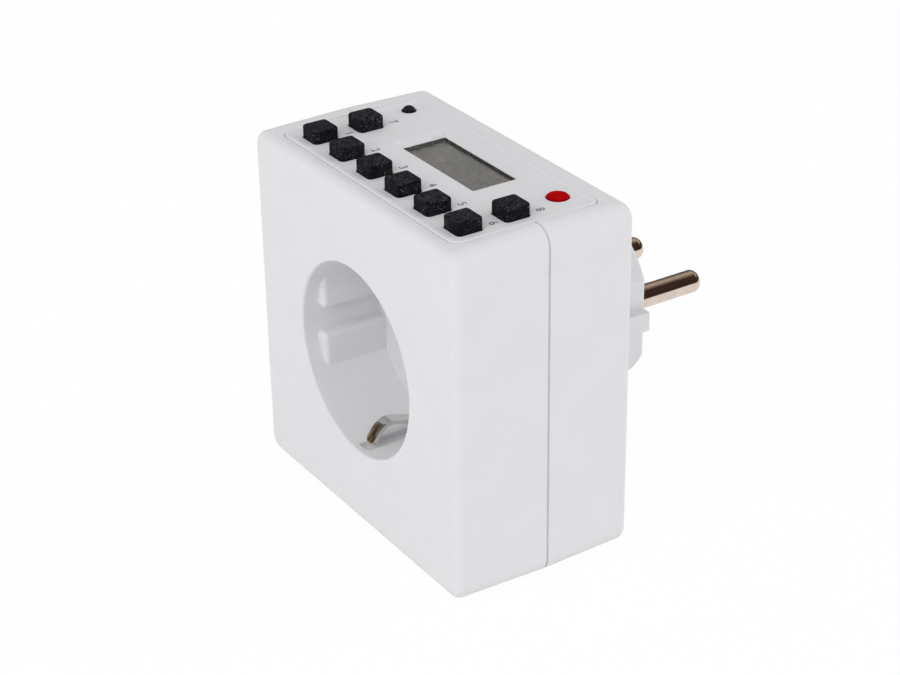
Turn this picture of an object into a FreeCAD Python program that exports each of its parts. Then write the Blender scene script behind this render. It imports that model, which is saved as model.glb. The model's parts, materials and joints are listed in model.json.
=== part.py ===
import FreeCAD, Part
import math
import os

os.makedirs("parts", exist_ok=True)

# Plug-in digital timer for an earthed round two-pin socket, lengths in millimetres.
# While it is built, x runs to the right, y runs from the socket face to the pins,
# and z runs up from the axis of the socket. save() moves that onto the part's own origin.

# Case
case_size = 73.0          # width and height at the parting line
case_depth = 39.7         # socket face to rear face
split_y = 20.0            # parting line between the two shells
draft = 0.4               # how much each half narrows towards its face
seam_width = 0.45         # shadow groove round the parting line
seam_depth = 0.45
edge_bevel = 0.15
corner_radius = 3.6
front_fillet = 1.9
rear_fillet = 2.1
wall = 2.0
front_wall = 2.2
rear_wall = 2.0
tongue_height = 1.2
tongue_thickness = 0.9
fit_gap = 0.1             # clearance of parts that locate each other
seat_gap = 0.05           # clearance of parts that are pressed or soldered together
touch_gap = 0.02          # hairline between faces that lie on each other
past = 1.0                # how far a cutting body runs past the face it opens
bite = 0.1                # how far bodies that are joined reach into each other

# Socket recess in the front shell
recess_radius = 19.8
recess_depth = 17.8
recess_fillet = 0.5
cup_wall = 1.6
cup_floor = 1.8
pin_pitch = 19.0
pin_hole_radius = 3.0
guide_face_x = 17.1       # flat inner face of the guide blocks
guide_groove = 5.5        # groove between an upper and a lower guide block
guide_start = 3.3
guide_lead_in = 0.2
guide_edge = 1.1          # rounded edges of the guide blocks
clip_slot_width = 3.4
clip_slot_start = 1.5
clip_slot_depth = 1.0
earth_leg_gap = 0.4

# Plug body on the rear shell
plug_radius = 18.85
plug_length = 17.6
plug_flat_x = 16.9
plug_rib_x = 18.95
plug_rib_width = 4.1
plug_wall = 2.0
plug_end_wall = 2.5
plug_fillet = 0.6
earth_groove_width = 8.6
earth_groove_z = 16.4
earth_groove_start = 0.5   # from the rear face of the case
pin_boss_radius = 4.4
pin_boss_depth = 5.3
contact_slot_gap = 0.15

# Plug pins
pin_radius = 2.4
pin_length = 19.0
pin_tip_fillet = 1.7
pin_press_radius = 2.65
pin_collar_radius = 3.6
pin_collar_thickness = 1.0
pin_tail_radius = 1.4
pin_tail_length = 3.4

# Control panel and its keys
panel_x = 0.65
panel_margin_x = 5.55     # side of the case to the edge of the panel, on average
panel_front_y = 3.05
panel_margin_rear = 4.65
panel_corner = 2.2
panel_edge = 0.3
panel_gap = 0.15
panel_thickness = 1.6
panel_rim_width = 1.1
panel_rim_slope = 0.3
panel_rim_height = 0.2
panel_flange_x = 1.2
panel_flange_y = 0.6
panel_flange_thickness = 1.1
panel_skirt = 1.2
key_size_x = 5.3
key_size_y = 5.4
key_corner = 0.8
key_edge = 0.5
key_height = 2.65         # above the sunk field of the panel
key_gap = 0.15
key_travel = 1.0
key_count = 6             # in the front row
key_margin_left = 6.6     # edges of the panel to the middle of the end keys
key_margin_right = 5.0
key_margin_front = 5.15
key_row_step = 10.25
reset_margin_x = 4.6
reset_margin_rear = 5.35
reset_radius = 1.4
reset_dome = 1.05
reset_flange_radius = 2.5
reset_flange_thickness = 0.8
reset_travel = 0.6
pill_radius = 1.5
reset_pill_radius = 1.0
web_height = 1.4
web_spread = 1.1
web_thickness = 0.35
key_web_reach = 1.05      # how far a web reaches past its key
reset_web_reach = 0.7
mat_thickness = 1.2
mat_left = 5.0            # edges of the mat from the middle of the nearest key
mat_right = 4.2
mat_front = 4.1
mat_rear = 4.3
mat_inner = 4.6
mat_end = 3.9
mat_lip = 0.6

# Display
window_shift = -0.45      # from the middle of the panel
window_margin_x = 18.15   # edge of the panel to the opening
window_margin_rear = 10.25
window_open_y = 10.0
window_bevel = 1.3
window_pane = 0.8
window_overlap = 0.9
window_ledge = 1.4
lcd_thickness = 2.0
lcd_margin = 0.7
lcd_glass_step = 1.6      # the lower glass is wider, for its contacts
lcd_frame_wall = 1.0
lcd_frame_corner = 0.8
lcd_ledge = 0.7
zebra_width = 1.8
zebra_inset = 0.6
zebra_end = 1.6

# Indicator
lamp_margin_x = 6.4
lamp_margin_rear = 5.25
lamp_radius = 2.1
lamp_gap = 0.2
lamp_height = 0.45
lamp_edge = 0.35
lamp_flange_radius = 3.0
lamp_flange_thickness = 0.8
led_radius = 1.5
led_height = 3.1
led_rim = 0.3
led_rim_height = 0.8
led_gap = 0.3

# Boards
board_thickness = 1.6
control_board_drop = 6.1  # top of the case to the upper face of the control board
control_board_wider = 0.45        # past the panel at each end
control_board_front = 1.35
control_board_rear = 0.25
post_side_gap = 4.7
post_right_gap = 3.1
post_rear_gap = 1.0
post_frame_gap = 3.7
board_post_radius = 1.6
board_screw_radius = 0.75
board_screw_length = 5.0
board_screw_head = 1.5
board_screw_head_height = 1.0
board_screw_slot = 0.4
board_hole_gap = 0.3
post_gap = 0.3
power_board_margin_x = 8.1
power_board_margin_low = 0.5
power_board_overlap = 1.2      # of the board behind the recess cup
power_board_behind = 2.4
power_post_in = 2.2
power_post_down = 3.2
screw_margin_x = 5.1
screw_margin_top = 13.0
screw_margin_low = 5.5
screw_post_radius = 3.0
screw_radius = 1.05
screw_clear_radius = 1.5
screw_head_radius = 2.5
screw_head_height = 1.8
screw_length = 16.0
screw_well_depth = 9.0
screw_well_gap = 0.4
screw_head_fillet = 0.6
screw_cross_length = 3.2
screw_cross_width = 0.6
screw_cross_depth = 0.9

# Parts of the control board
resin_radius = 4.8        # drop of resin over the controller chip
resin_height = 1.4
resin_x = 2.0
resin_behind = 2.7        # behind the middle of the display
crystal_radius = 1.0
crystal_length = 4.0
crystal_x = -7.0
crystal_behind = 4.7
battery_radius = 7.7
battery_over_cup = 1.4
battery_post_gap = 1.8
battery_ahead = 2.3       # ahead of the middle of the display
battery_tab = 3.0
part_lift = 0.3           # height of a part on leads above its board
cable_carrier_gap = 0.5
cable_width = 2.8
cable_thickness = 1.0

# Relay
bay_drawn = 12.7          # height of the bay that the relay and the power parts are drawn for
relay_cup_gap = 0.5
relay_case_gap = 0.2
relay_left_gap = 1.4
relay_right_gap = 0.8
relay_wall = 0.8
relay_base_thickness = 1.6
core_radius = 1.6
winding_radius = 3.7
winding_foot = 1.4        # floor of the base to the rims of the bobbin
bobbin_rim = 0.7
bobbin_rim_thickness = 0.75
yoke_thickness = 1.2
yoke_half_width = 4.0
yoke_leg_gap = 0.6
yoke_end_gap = 0.3
yoke_wall_gap = 0.4
yoke_front_gap = 2.1
armature_side_gap = 0.2
armature_thickness = 1.2
armature_turn = 6.0       # degrees from open to closed
armature_gap = 0.1
armature_past = 0.4       # past the middle of the yoke
armature_foot = 1.6
moving_arm_foot = 4.4
moving_arm_reach = 8.4
moving_arm_half_width = 2.0
moving_arm_thickness = 0.4
arm_block_length = 2.2
arm_block_half_width = 2.6
arm_block_ahead = 1.0
arm_block_behind = 1.8
button_radius = 1.3
button_height = 0.8
contact_post_half_width = 2.2
contact_post_left = 1.6
contact_post_right = 2.0
contact_room = 3.0        # between the moving button's edge and the cover

# Parts of the power board
lead_width = 0.6
film_width = 12.0
film_height = 12.0
film_thickness = 6.8
film_margin = 3.8
varistor_radius = 4.9
varistor_thickness = 3.8
varistor_margin = 6.0
can_radius = 4.0
can_rear_gap = 2.6
can_margin = 4.8
can_foot = 1.4
fuse_radius = 1.9
fuse_length = 8.0
fuse_foot = 0.7
diode_radius = 1.2
diode_length = 3.8
diode_pitch = 2.9
diode_top = 3.0
resistor_radius = 1.1
resistor_length = 6.0
resistor_pitch = 3.4
resistor_top = 4.2
transistor_radius = 2.2
transistor_length = 4.5
transistor_top = 3.4
transistor_side = 1.5
transistor_pitch = 1.3

# Contacts, shutter and earth
carrier_screw_x = 18.9
carrier_screw_z = -6.0
carrier_screw_length = 8.0
carrier_lug_radius = 1.9
shutter_thickness = 2.8
shutter_half_x = 14.3
shutter_low = 4.3
shutter_travel = 6.6
shutter_margin = 1.3
shutter_slope = 5.0       # length of the slope that a pin pushes on
shutter_slope_half_x = 2.6
shutter_lip = 0.4
shutter_run_gap = 0.15
carrier_plate = 1.5
carrier_wall = 1.2
spring_room = 3.4         # height left for the folded spring when the shutter is open
spring_folds = 6
spring_half_band = 0.84
spring_half_width = 4.0
spring_side_gap = 0.6
contact_thickness = 0.6
contact_width = 5.0
contact_pinch = 2.35
contact_mouth_gap = 0.3
contact_pocket_gap = 0.1
contact_funnel = 2.4
contact_grip_end = 5.5
contact_spread = 0.5
contact_rear_spread = 0.7
contact_rear_start = 3.0
contact_bow = 0.6
contact_bow_in = 0.9
contact_end_gap = 0.2
link_half_width = 1.6
link_overlap = 2.4
pin_slot_depth = 2.6
pocket_half_x = 3.3
pocket_half_z = 4.9
pocket_wall = 1.0
pocket_depth = 6.0
clip_thickness = 0.8
clip_width = 2.8
clip_tip_radius = 1.1
clip_tip_zone = 0.3        # the edges rounded with that radius end within it
clip_leg_in = 2.2          # wall of the recess to the inner face of the legs
# Inner face of an earth clip: depth in the recess and distance in from its wall
clip_points = [(3.0, 1.0), (4.1, 2.45), (5.6, 4.05), (7.3, 4.7), (9.4, 4.3), (12.6, 3.4)]
clip_foot_ahead = 1.8      # of the floor of the recess
clip_foot_in = 0.3
clip_foot_behind = 0.6
bridge_ahead = 3.5         # of the rear face
plug_contact_width = 6.0
plug_contact_leg_z = 12.4
plug_contact_step = 3.0
plug_contact_foot = 1.5
plug_contact_in = 0.1
rivet_radius = 1.0
rivet_head_radius = 1.6
rivet_head_height = 0.6
wire_radius = 0.9
live_joint_down = 4.8
wire_joint_down = 2.4
wire_leaf_y = 14.0         # behind the floor of the recess
wire_leaf_gap = 1.1

case_half = case_size / 2
cavity_corner = corner_radius - wall + draft
board_hole_depth = board_screw_length - board_thickness + 0.6
plug_face_y = case_depth + plug_length
total_depth = plug_face_y + pin_length
cup_back_y = recess_depth + cup_floor
cup_outer = recess_radius + cup_wall
field_z = case_half - panel_rim_height
panel_under_z = field_z - panel_thickness
key_top_z = field_z + key_height
control_top_z = case_half - control_board_drop
mat_top_z = control_top_z + mat_thickness
key_base_z = mat_top_z + web_height
pin_x = pin_pitch / 2

# Places on the panel
panel_half_x = case_half - panel_margin_x
panel_left = panel_x - panel_half_x
panel_right = panel_x + panel_half_x
panel_rear_y = case_depth - panel_margin_rear
key_row_x = panel_left + key_margin_left
key_pitch = (panel_right - key_margin_right - key_row_x) / (key_count - 1)
key_last_x = panel_right - key_margin_right
key_row_y = panel_front_y + key_margin_front
key_back_y = key_row_y + key_row_step
reset_x = panel_left + reset_margin_x
reset_y = panel_rear_y - reset_margin_rear
lamp_x = panel_right - lamp_margin_x
lamp_y = panel_rear_y - lamp_margin_rear
window_x = panel_x + window_shift
window_y = panel_rear_y - window_margin_rear
window_open_x = 2 * (panel_half_x - window_margin_x)

# Places of the boards, the screws and what the boards carry
control_board_half_x = panel_half_x + control_board_wider
screw_x = case_half - screw_margin_x
screw_top_z = case_half - screw_margin_top
screw_low_z = screw_margin_low - case_half
battery_height = control_top_z - board_thickness - part_lift - cup_outer - battery_over_cup
battery_x = -(screw_x - screw_post_radius - screw_well_gap - battery_post_gap - battery_radius)
battery_y = window_y - battery_ahead
bay_low = wall + draft - case_half
bay_height = -cup_outer - bay_low
part_scale = bay_height / bay_drawn
power_board_half_x = case_half - power_board_margin_x
power_board_y = cup_back_y + power_board_behind
power_board_low = bay_low + power_board_margin_low
power_board_top = power_board_overlap - cup_outer
power_post_x = power_board_half_x - power_post_in
power_post_z = power_board_top - power_post_down
film_x = power_board_half_x - film_margin - part_scale * film_width / 2
varistor_x = varistor_margin + part_scale * varistor_thickness / 2 - power_board_half_x
relay_left = varistor_x + part_scale * varistor_thickness / 2 + relay_left_gap
relay_right = film_x - part_scale * film_width / 2 - relay_right_gap
relay_height = bay_height - relay_cup_gap - relay_case_gap
can_x = power_board_half_x - can_margin - part_scale * can_radius
can_length = case_depth - rear_wall - can_rear_gap - power_board_y - board_thickness
bridge_y = case_depth - bridge_ahead
earth_leg_z = recess_radius - clip_leg_in


def save(name, shape):
    """Move a finished sub-part onto the part's origin and write it."""
    placed = shape.copy()
    placed.translate(FreeCAD.Vector(0, -total_depth / 2, case_half))
    placed.exportStep("parts/" + name + ".step")


def vec(x, y, z):
    return FreeCAD.Vector(x, y, z)


def box(x0, x1, y0, y1, z0, z1):
    return Part.makeBox(x1 - x0, y1 - y0, z1 - z0, vec(x0, y0, z0))


def rod_x(radius, x0, x1, y, z):
    return Part.makeCylinder(radius, x1 - x0, vec(x0, y, z), vec(1, 0, 0))


def rod_y(radius, y0, y1, x, z):
    return Part.makeCylinder(radius, y1 - y0, vec(x, y0, z), vec(0, 1, 0))


def rod_z(radius, z0, z1, x, y):
    return Part.makeCylinder(radius, z1 - z0, vec(x, y, z0), vec(0, 0, 1))


def joined(shapes):
    """One clean solid from shapes that touch or overlap."""
    whole = shapes[0]
    for shape in shapes[1:]:
        whole = whole.fuse(shape)
    return whole.removeSplitter()


def rounded_points(half_a, half_b, radius):
    """Straight runs and corner centres of a rounded rectangle about zero."""
    corners = [(1, 1), (-1, 1), (-1, -1), (1, -1)]
    arcs = []
    for index, (side_a, side_b) in enumerate(corners):
        centre = (side_a * (half_a - radius), side_b * (half_b - radius))
        start = math.radians(90 * index)
        points = []
        for step in (0, 45, 90):
            angle = start + math.radians(step)
            points.append((centre[0] + radius * math.cos(angle), centre[1] + radius * math.sin(angle)))
        arcs.append(points)
    return arcs


def rounded_wire(half_a, half_b, radius, to_point):
    """Rounded rectangle as a wire; to_point turns two flat coordinates into a place."""
    arcs = rounded_points(half_a, half_b, radius)
    edges = []
    for index, points in enumerate(arcs):
        first, middle, last = [to_point(a, b) for a, b in points]
        edges.append(Part.Arc(first, middle, last).toShape())
        following = to_point(*arcs[(index + 1) % 4][0])
        edges.append(Part.LineSegment(last, following).toShape())
    return Part.Wire(edges)


def section_y(half, radius, y):
    """Square section of the case at a depth."""
    return rounded_wire(half, half, radius, lambda a, b: vec(a, y, b))


def plate_z(half_x, half_y, radius, z0, z1, x=0.0, y=0.0):
    """Flat plate with rounded corners."""
    outline = rounded_wire(half_x, half_y, radius, lambda a, b: vec(x + a, y + b, z0))
    return Part.Face(outline).extrude(vec(0, 0, z1 - z0))


def lofted(sections):
    return Part.makeLoft(sections, True, True)


def edges_at(shape, test):
    """Edges whose middle point passes a test."""
    found = []
    for edge in shape.Edges:
        middle = edge.valueAt((edge.FirstParameter + edge.LastParameter) / 2)
        if test(middle, edge):
            found.append(edge)
    return found


def outline_solid(points, to_point, direction):
    """Prism from a closed outline of straight runs."""
    wire = Part.makePolygon([to_point(a, b) for a, b in points] + [to_point(*points[0])])
    return Part.Face(wire).extrude(direction)


def bent_strip(points, thickness, x0, x1):
    """Metal strip bent in the y-z plane: a smooth line of points is its middle."""
    curve = Part.BSplineCurve()
    curve.interpolate([vec(x0, y, z) for y, z in points])
    count = 12 * (len(points) - 1)
    sides = ([], [])
    first = curve.FirstParameter
    span = curve.LastParameter - first
    for step in range(count + 1):
        at = first + span * step / count
        place = curve.value(at)
        along = curve.tangent(at)[0]
        normal = vec(0, -along.z, along.y)
        sides[0].append(place + normal * (thickness / 2))
        sides[1].append(place - normal * (thickness / 2))
    edges = []
    for side in sides:
        edge_curve = Part.BSplineCurve()
        edge_curve.interpolate(side)
        edges.append(edge_curve.toShape())
    edges.append(Part.LineSegment(sides[0][0], sides[1][0]).toShape())
    edges.append(Part.LineSegment(sides[0][-1], sides[1][-1]).toShape())
    face = Part.Face(Part.Wire(Part.__sortEdges__(edges)))
    return face.extrude(vec(x1 - x0, 0, 0))


def folded_strip(points, thickness, x0, x1):
    """Metal strip folded in the y-z plane with straight runs and tight bends."""
    middle = [vec(0, y, z) for y, z in points]
    sides = ([], [])
    for index, place in enumerate(middle):
        before = middle[max(index - 1, 0)]
        after = middle[min(index + 1, len(middle) - 1)]
        back = (place - before).normalize() if index > 0 else (after - place).normalize()
        ahead = (after - place).normalize() if index < len(middle) - 1 else back
        bisector = (back + ahead).normalize()
        normal = vec(0, -bisector.z, bisector.y)
        reach = thickness / 2 / max(normal.dot(vec(0, -back.z, back.y)), 0.2)
        sides[0].append(place + normal * reach)
        sides[1].append(place - normal * reach)
    outline = sides[0] + sides[1][::-1]
    wire = Part.makePolygon(outline + [outline[0]])
    strip = Part.Face(wire).extrude(vec(x1 - x0, 0, 0))
    strip.translate(vec(x0, 0, 0))
    return strip


def wire_tube(points, radius):
    """Insulated wire along straight runs joined by arcs as large as the runs allow."""
    places = [vec(*point) for point in points]
    edges = []
    start = places[0]
    for index in range(1, len(places) - 1):
        corner = places[index]
        run_in = corner - places[index - 1]
        run_out = places[index + 1] - corner
        turn = run_in.getAngle(run_out)
        shorter = min(run_in.Length, run_out.Length)
        setback = 0.45 * shorter
        bend_radius = setback / math.tan(turn / 2)
        toward = FreeCAD.Vector(run_in).normalize()
        away = FreeCAD.Vector(run_out).normalize()
        enter = corner - toward * setback
        leave = corner + away * setback
        inward = (away - toward).normalize()
        to_centre = bend_radius / math.cos(turn / 2)
        middle = corner + inward * (to_centre - bend_radius)
        edges.append(Part.LineSegment(start, enter).toShape())
        edges.append(Part.Arc(enter, middle, leave).toShape())
        start = leave
    edges.append(Part.LineSegment(start, places[-1]).toShape())
    path = Part.Wire(edges)
    heading = places[1] - places[0]
    profile = Part.Wire(Part.makeCircle(radius, places[0], heading))
    return path.makePipeShell([profile], True, False)


# Case shells
def case_half_outside(face_y, face_fillet, groove):
    """Outside of one shell from the parting line to its face, with a groove at the line if it has a width."""
    toward = 1 if face_y > split_y else -1
    edge_y = split_y + toward * groove
    full_y = edge_y + toward * edge_bevel
    edge = section_y(case_half - edge_bevel, corner_radius - edge_bevel, edge_y)
    full = section_y(case_half, corner_radius, full_y)
    face = section_y(case_half - draft, corner_radius - draft, face_y)
    body = lofted([edge, full]).fuse(lofted([full, face]))
    rim = edges_at(body, lambda p, e: abs(p.y - face_y) < 0.01)
    body = body.makeFillet(face_fillet, rim)
    if groove:
        low = section_y(case_half - seam_depth, corner_radius - seam_depth, split_y)
        high = section_y(case_half - seam_depth, corner_radius - seam_depth, edge_y + toward * bite)
        body = body.fuse(lofted([low, high]))
    return body


def case_half_inside(face_y, thickness):
    """Cavity of one shell, open at the parting line."""
    toward = 1 if face_y > split_y else -1
    end_y = face_y - toward * thickness
    half = case_half - wall
    opened = section_y(half, cavity_corner, split_y - toward * 0.01)
    closed = section_y(half - draft, corner_radius - wall, end_y)
    return lofted([opened, closed])


def panel_opening():
    """Opening in both shells for the control panel."""
    half_y = (panel_rear_y - panel_front_y) / 2 + panel_gap
    middle_y = (panel_rear_y + panel_front_y) / 2
    return plate_z(panel_half_x + panel_gap, half_y, panel_corner + panel_gap,
                   case_half - 2 * wall, case_half + past, panel_x, middle_y)


def screw_places():
    return [(side * screw_x, z) for side in (-1, 1) for z in (screw_top_z, screw_low_z)]


def screw_tip_y():
    return case_depth - screw_well_depth - screw_length


def guide_blocks():
    """Four blocks that leave a groove on each side for the rib of a plug."""
    groove = guide_groove / 2
    reach = recess_radius + cup_wall / 2
    start_at_face = guide_start + guide_lead_in
    outline = [(guide_face_x, start_at_face), (guide_face_x, cup_back_y - bite),
               (reach, cup_back_y - bite), (reach, guide_start)]
    inside = rod_y(reach, 0, cup_back_y, 0, 0)
    blocks = []
    for side in (-1, 1):
        for top in (-1, 1):
            low_z = groove if top > 0 else -recess_radius
            block = outline_solid(outline, lambda a, b: vec(side * a, b, low_z),
                                  vec(0, 0, recess_radius - groove))
            near = edges_at(block, lambda p, e: abs(abs(p.z) - groove) < 0.01 and abs(p.x) < reach - bite
                            and p.y < cup_back_y - 2 * bite)
            near += edges_at(block, lambda p, e: abs(abs(p.x) - guide_face_x) < 0.01
                             and abs(p.y - start_at_face) < 0.01)
            blocks.append(block.makeFillet(guide_edge, near).common(inside))
    return blocks


def front_shell():
    """Socket half of the case, moulded in one piece with the socket recess."""
    shell = case_half_outside(0, front_fillet, 0).cut(case_half_inside(0, front_wall))
    cup = rod_y(cup_outer, front_wall / 2, cup_back_y, 0, 0)
    posts = []
    for x, z in screw_places():
        posts.append(rod_y(screw_post_radius, front_wall / 2, split_y, x, z))
    for side in (-1, 1):
        posts.append(rod_y(board_post_radius, front_wall / 2, power_board_y, side * power_post_x,
                           power_post_z))
    shell = shell.fuse([cup] + posts)
    shell = shell.cut(rod_y(recess_radius, -past, recess_depth, 0, 0))
    shell = shell.fuse(guide_blocks()).removeSplitter()
    mouth = edges_at(shell, lambda p, e: abs(p.y) < 0.01 and math.hypot(p.x, p.z) < cup_outer)
    shell = shell.makeFillet(recess_fillet, mouth)
    cuts = [panel_opening()]
    cuts.append(tongue(fit_gap))
    for side in (-1, 1):
        cuts.append(rod_y(pin_hole_radius, recess_depth - past, cup_back_y + past, side * pin_x, 0))
        half = clip_slot_width / 2
        outer = recess_radius + clip_slot_depth
        z0, z1 = sorted((side * (recess_radius - clip_slot_depth), side * outer))
        cuts.append(box(-half, half, clip_slot_start, recess_depth + 0.01, z0, z1))
        z0, z1 = sorted((side * (earth_leg_z - earth_leg_gap), side * outer))
        cuts.append(box(-half, half, recess_depth - past, cup_back_y + past, z0, z1))
        cuts.append(rod_y(board_screw_radius, power_board_y - board_hole_depth, power_board_y + past,
                          side * power_post_x, power_post_z))
        cuts.append(rod_y(board_screw_radius, cup_back_y - board_hole_depth, cup_back_y + past,
                          side * carrier_screw_x, carrier_screw_z))
    for x, z in screw_places():
        cuts.append(rod_y(screw_radius + seat_gap, screw_tip_y() - past, split_y + past, x, z))
    save("front_shell", shell.cut(cuts))


def tongue(extra):
    """Ring on the rear shell that locates it in the front shell; extra is the clearance of its groove."""
    inner_half = case_half - wall
    low = split_y - tongue_height - extra
    width = tongue_thickness + extra
    ring = lofted([section_y(inner_half + width, cavity_corner + width, low),
                   section_y(inner_half + width, cavity_corner + width, split_y + 0.01)])
    inward = draft + fit_gap if extra else 0.0
    hole = lofted([section_y(inner_half - inward, cavity_corner, low - past),
                   section_y(inner_half - inward, cavity_corner, split_y + past)])
    return ring.cut(hole)


def plug_outside():
    """Round plug body with two flats, a rib on each flat and two earth grooves."""
    root_y = case_depth - rear_wall / 2
    body = rod_y(plug_radius, root_y, plug_face_y, 0, 0)
    body = body.common(box(-plug_flat_x, plug_flat_x, root_y - past, plug_face_y + past, -plug_radius,
                           plug_radius))
    rib = box(-plug_rib_x, plug_rib_x, root_y, plug_face_y, -plug_rib_width / 2, plug_rib_width / 2)
    body = body.fuse(rib).removeSplitter()
    body = body.makeFillet(plug_fillet, edges_at(body, lambda p, e: abs(p.y - plug_face_y) < 0.01))
    half = earth_groove_width / 2
    for side in (-1, 1):
        z0, z1 = sorted((side * earth_groove_z, side * (plug_radius + past)))
        body = body.cut(box(-half, half, case_depth + earth_groove_start, plug_face_y + past, z0, z1))
    return body


def rear_shell():
    """Plug half of the case, moulded in one piece with the plug body."""
    outside = case_half_outside(case_depth, rear_fillet, seam_width)
    shell = outside.cut(case_half_inside(case_depth, rear_wall))
    shell = shell.fuse([plug_outside(), tongue(0)])
    posts = []
    for x, z in screw_places():
        posts.append(rod_y(screw_post_radius + screw_well_gap, split_y, case_depth - rear_wall / 2, x, z))
    shell = shell.fuse(posts).removeSplitter()
    hollow = rod_y(plug_radius - plug_wall, case_depth - rear_wall - past, plug_face_y - plug_end_wall, 0, 0)
    flat = plug_flat_x - plug_wall
    level = earth_groove_z - plug_wall
    hollow = hollow.common(box(-flat, flat, 0, plug_face_y, -level, level))
    bosses = [rod_y(pin_boss_radius, plug_face_y - plug_end_wall - pin_boss_depth, plug_face_y,
                    side * pin_x, 0) for side in (-1, 1)]
    shell = shell.cut(hollow.cut(bosses))
    cuts = [panel_opening()]
    half = plug_contact_width / 2 + fit_gap
    slot_y = plug_face_y - plug_end_wall - clip_thickness
    for side in (-1, 1):
        cuts.append(rod_y(pin_press_radius + seat_gap, plug_face_y - plug_end_wall - pin_boss_depth - past,
                          plug_face_y + past, side * pin_x, 0))
        z0, z1 = sorted((side * (level - past), side * (earth_groove_z + past)))
        cuts.append(box(-half, half, slot_y - contact_slot_gap, slot_y + clip_thickness + contact_slot_gap,
                        z0, z1))
    for x, z in screw_places():
        cuts.append(rod_y(screw_clear_radius, split_y - past, case_depth + past, x, z))
        cuts.append(rod_y(screw_head_radius + screw_well_gap, case_depth - screw_well_depth,
                          case_depth + past, x, z))
    save("rear_shell", shell.cut(cuts))


def case_screws():
    """Four cross-head screws that close the case from the rear."""
    screws = []
    head_y = case_depth - screw_well_depth
    for x, z in screw_places():
        head = rod_y(screw_head_radius, head_y, head_y + screw_head_height, x, z)
        head = head.makeFillet(screw_head_fillet, edges_at(head, lambda p, e: p.y > head_y + 1))
        screw = head.fuse(rod_y(screw_radius, screw_tip_y(), head_y + bite, x, z))
        long = screw_cross_length / 2
        thin = screw_cross_width / 2
        for half_x, half_z in ((long, thin), (thin, long)):
            screw = screw.cut(box(x - half_x, x + half_x, head_y + screw_head_height - screw_cross_depth,
                                  head_y + screw_head_height + past, z - half_z, z + half_z))
        screws.append(screw)
    save("case_screws", Part.makeCompound(screws))


# Control panel, keys and display
def key_places():
    """Node name and centre of each square key."""
    front = ["clock_key", "timer_key", "mode_key", "week_key", "hour_key", "minute_key"]
    places = [(name, key_row_x + key_pitch * index, key_row_y) for index, name in enumerate(front)]
    places.append(("random_key", key_row_x, key_back_y))
    places.append(("recall_key", key_last_x, key_back_y))
    return places


def board_posts():
    """Posts under the panel that carry the control board."""
    side_y = (key_row_y + key_back_y) / 2
    rear_y = panel_rear_y - board_post_radius - post_rear_gap
    out = lcd_sizes()[0] + fit_gap + lcd_frame_wall + post_frame_gap
    return [(key_row_x - post_side_gap, side_y), (key_last_x + post_right_gap, side_y),
            (window_x - out, rear_y), (window_x + out, rear_y)]


def window_hole(z0, z1, grow):
    """Straight rectangular hole through the panel at the display."""
    half_x = window_open_x / 2 + grow
    half_y = window_open_y / 2 + grow
    return box(window_x - half_x, window_x + half_x, window_y - half_y, window_y + half_y, z0, z1)


def control_panel():
    """Panel let into the top of the case, with a raised rim and a bevelled display opening."""
    half_y = (panel_rear_y - panel_front_y) / 2
    middle_y = (panel_rear_y + panel_front_y) / 2
    top = plate_z(panel_half_x, half_y, panel_corner, panel_under_z, case_half, panel_x, middle_y)
    top = top.makeFillet(panel_edge, edges_at(top, lambda p, e: abs(p.z - case_half) < 0.01))
    field = []
    for inset, z in ((panel_rim_width, case_half), (panel_rim_width + panel_rim_slope, field_z)):
        field.append(rounded_wire(panel_half_x - inset, half_y - inset,
                                  panel_corner - panel_rim_width + panel_rim_height,
                                  lambda a, b: vec(panel_x + a, middle_y + b, z)))
    panel = top.cut(lofted(field))
    flange_top = case_half - wall - draft - fit_gap
    flange_low = flange_top - panel_flange_thickness
    flange = plate_z(panel_half_x + panel_flange_x, half_y + panel_flange_y, panel_corner, flange_low,
                     flange_top, panel_x, middle_y)
    skirt = plate_z(panel_half_x, half_y, panel_corner, flange_low, panel_under_z + bite, panel_x, middle_y)
    room = plate_z(panel_half_x - panel_skirt, half_y - panel_skirt, panel_corner - panel_skirt,
                   flange_low - past, panel_under_z, panel_x, middle_y)
    pane_z = field_z - window_bevel
    frame = window_hole(pane_z - window_pane - seat_gap, panel_under_z + bite, window_overlap + window_ledge)
    posts = [rod_z(board_post_radius, control_top_z, panel_under_z + bite, x, y) for x, y in board_posts()]
    panel = panel.fuse([skirt.fuse(flange).cut(room), frame] + posts).removeSplitter()
    bevel = []
    for grow, z in ((0, pane_z), (window_bevel, field_z)):
        bevel.append(Part.makePolygon([vec(window_x + a * (window_open_x / 2 + grow),
                                           window_y + b * (window_open_y / 2 + grow), z)
                                       for a, b in ((1, 1), (-1, 1), (-1, -1), (1, -1), (1, 1))]))
    low = pane_z - window_pane - past
    cuts = [lofted(bevel), window_hole(low, pane_z + 0.01, 0)]
    cuts.append(window_hole(low, pane_z - touch_gap, window_overlap))
    for name, x, y in key_places():
        cuts.append(plate_z(key_size_x / 2 + key_gap, key_size_y / 2 + key_gap, key_corner + key_gap,
                            panel_under_z - past, case_half + past, x, y))
    round_holes = ((reset_radius + key_gap, reset_x, reset_y), (lamp_radius + lamp_gap, lamp_x, lamp_y))
    for radius, x, y in round_holes:
        cuts.append(rod_z(radius, panel_under_z - past, case_half + past, x, y))
    for x, y in board_posts():
        cuts.append(rod_z(board_screw_radius, control_top_z - past, control_top_z + board_hole_depth, x, y))
    save("control_panel", panel.cut(cuts))


def display_window():
    """Clear pane behind the display opening."""
    top = field_z - window_bevel - seat_gap
    save("display_window", window_hole(top - window_pane, top, window_overlap - fit_gap))


def lcd_base_z():
    return field_z - window_bevel - seat_gap - window_pane - fit_gap - lcd_thickness


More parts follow.
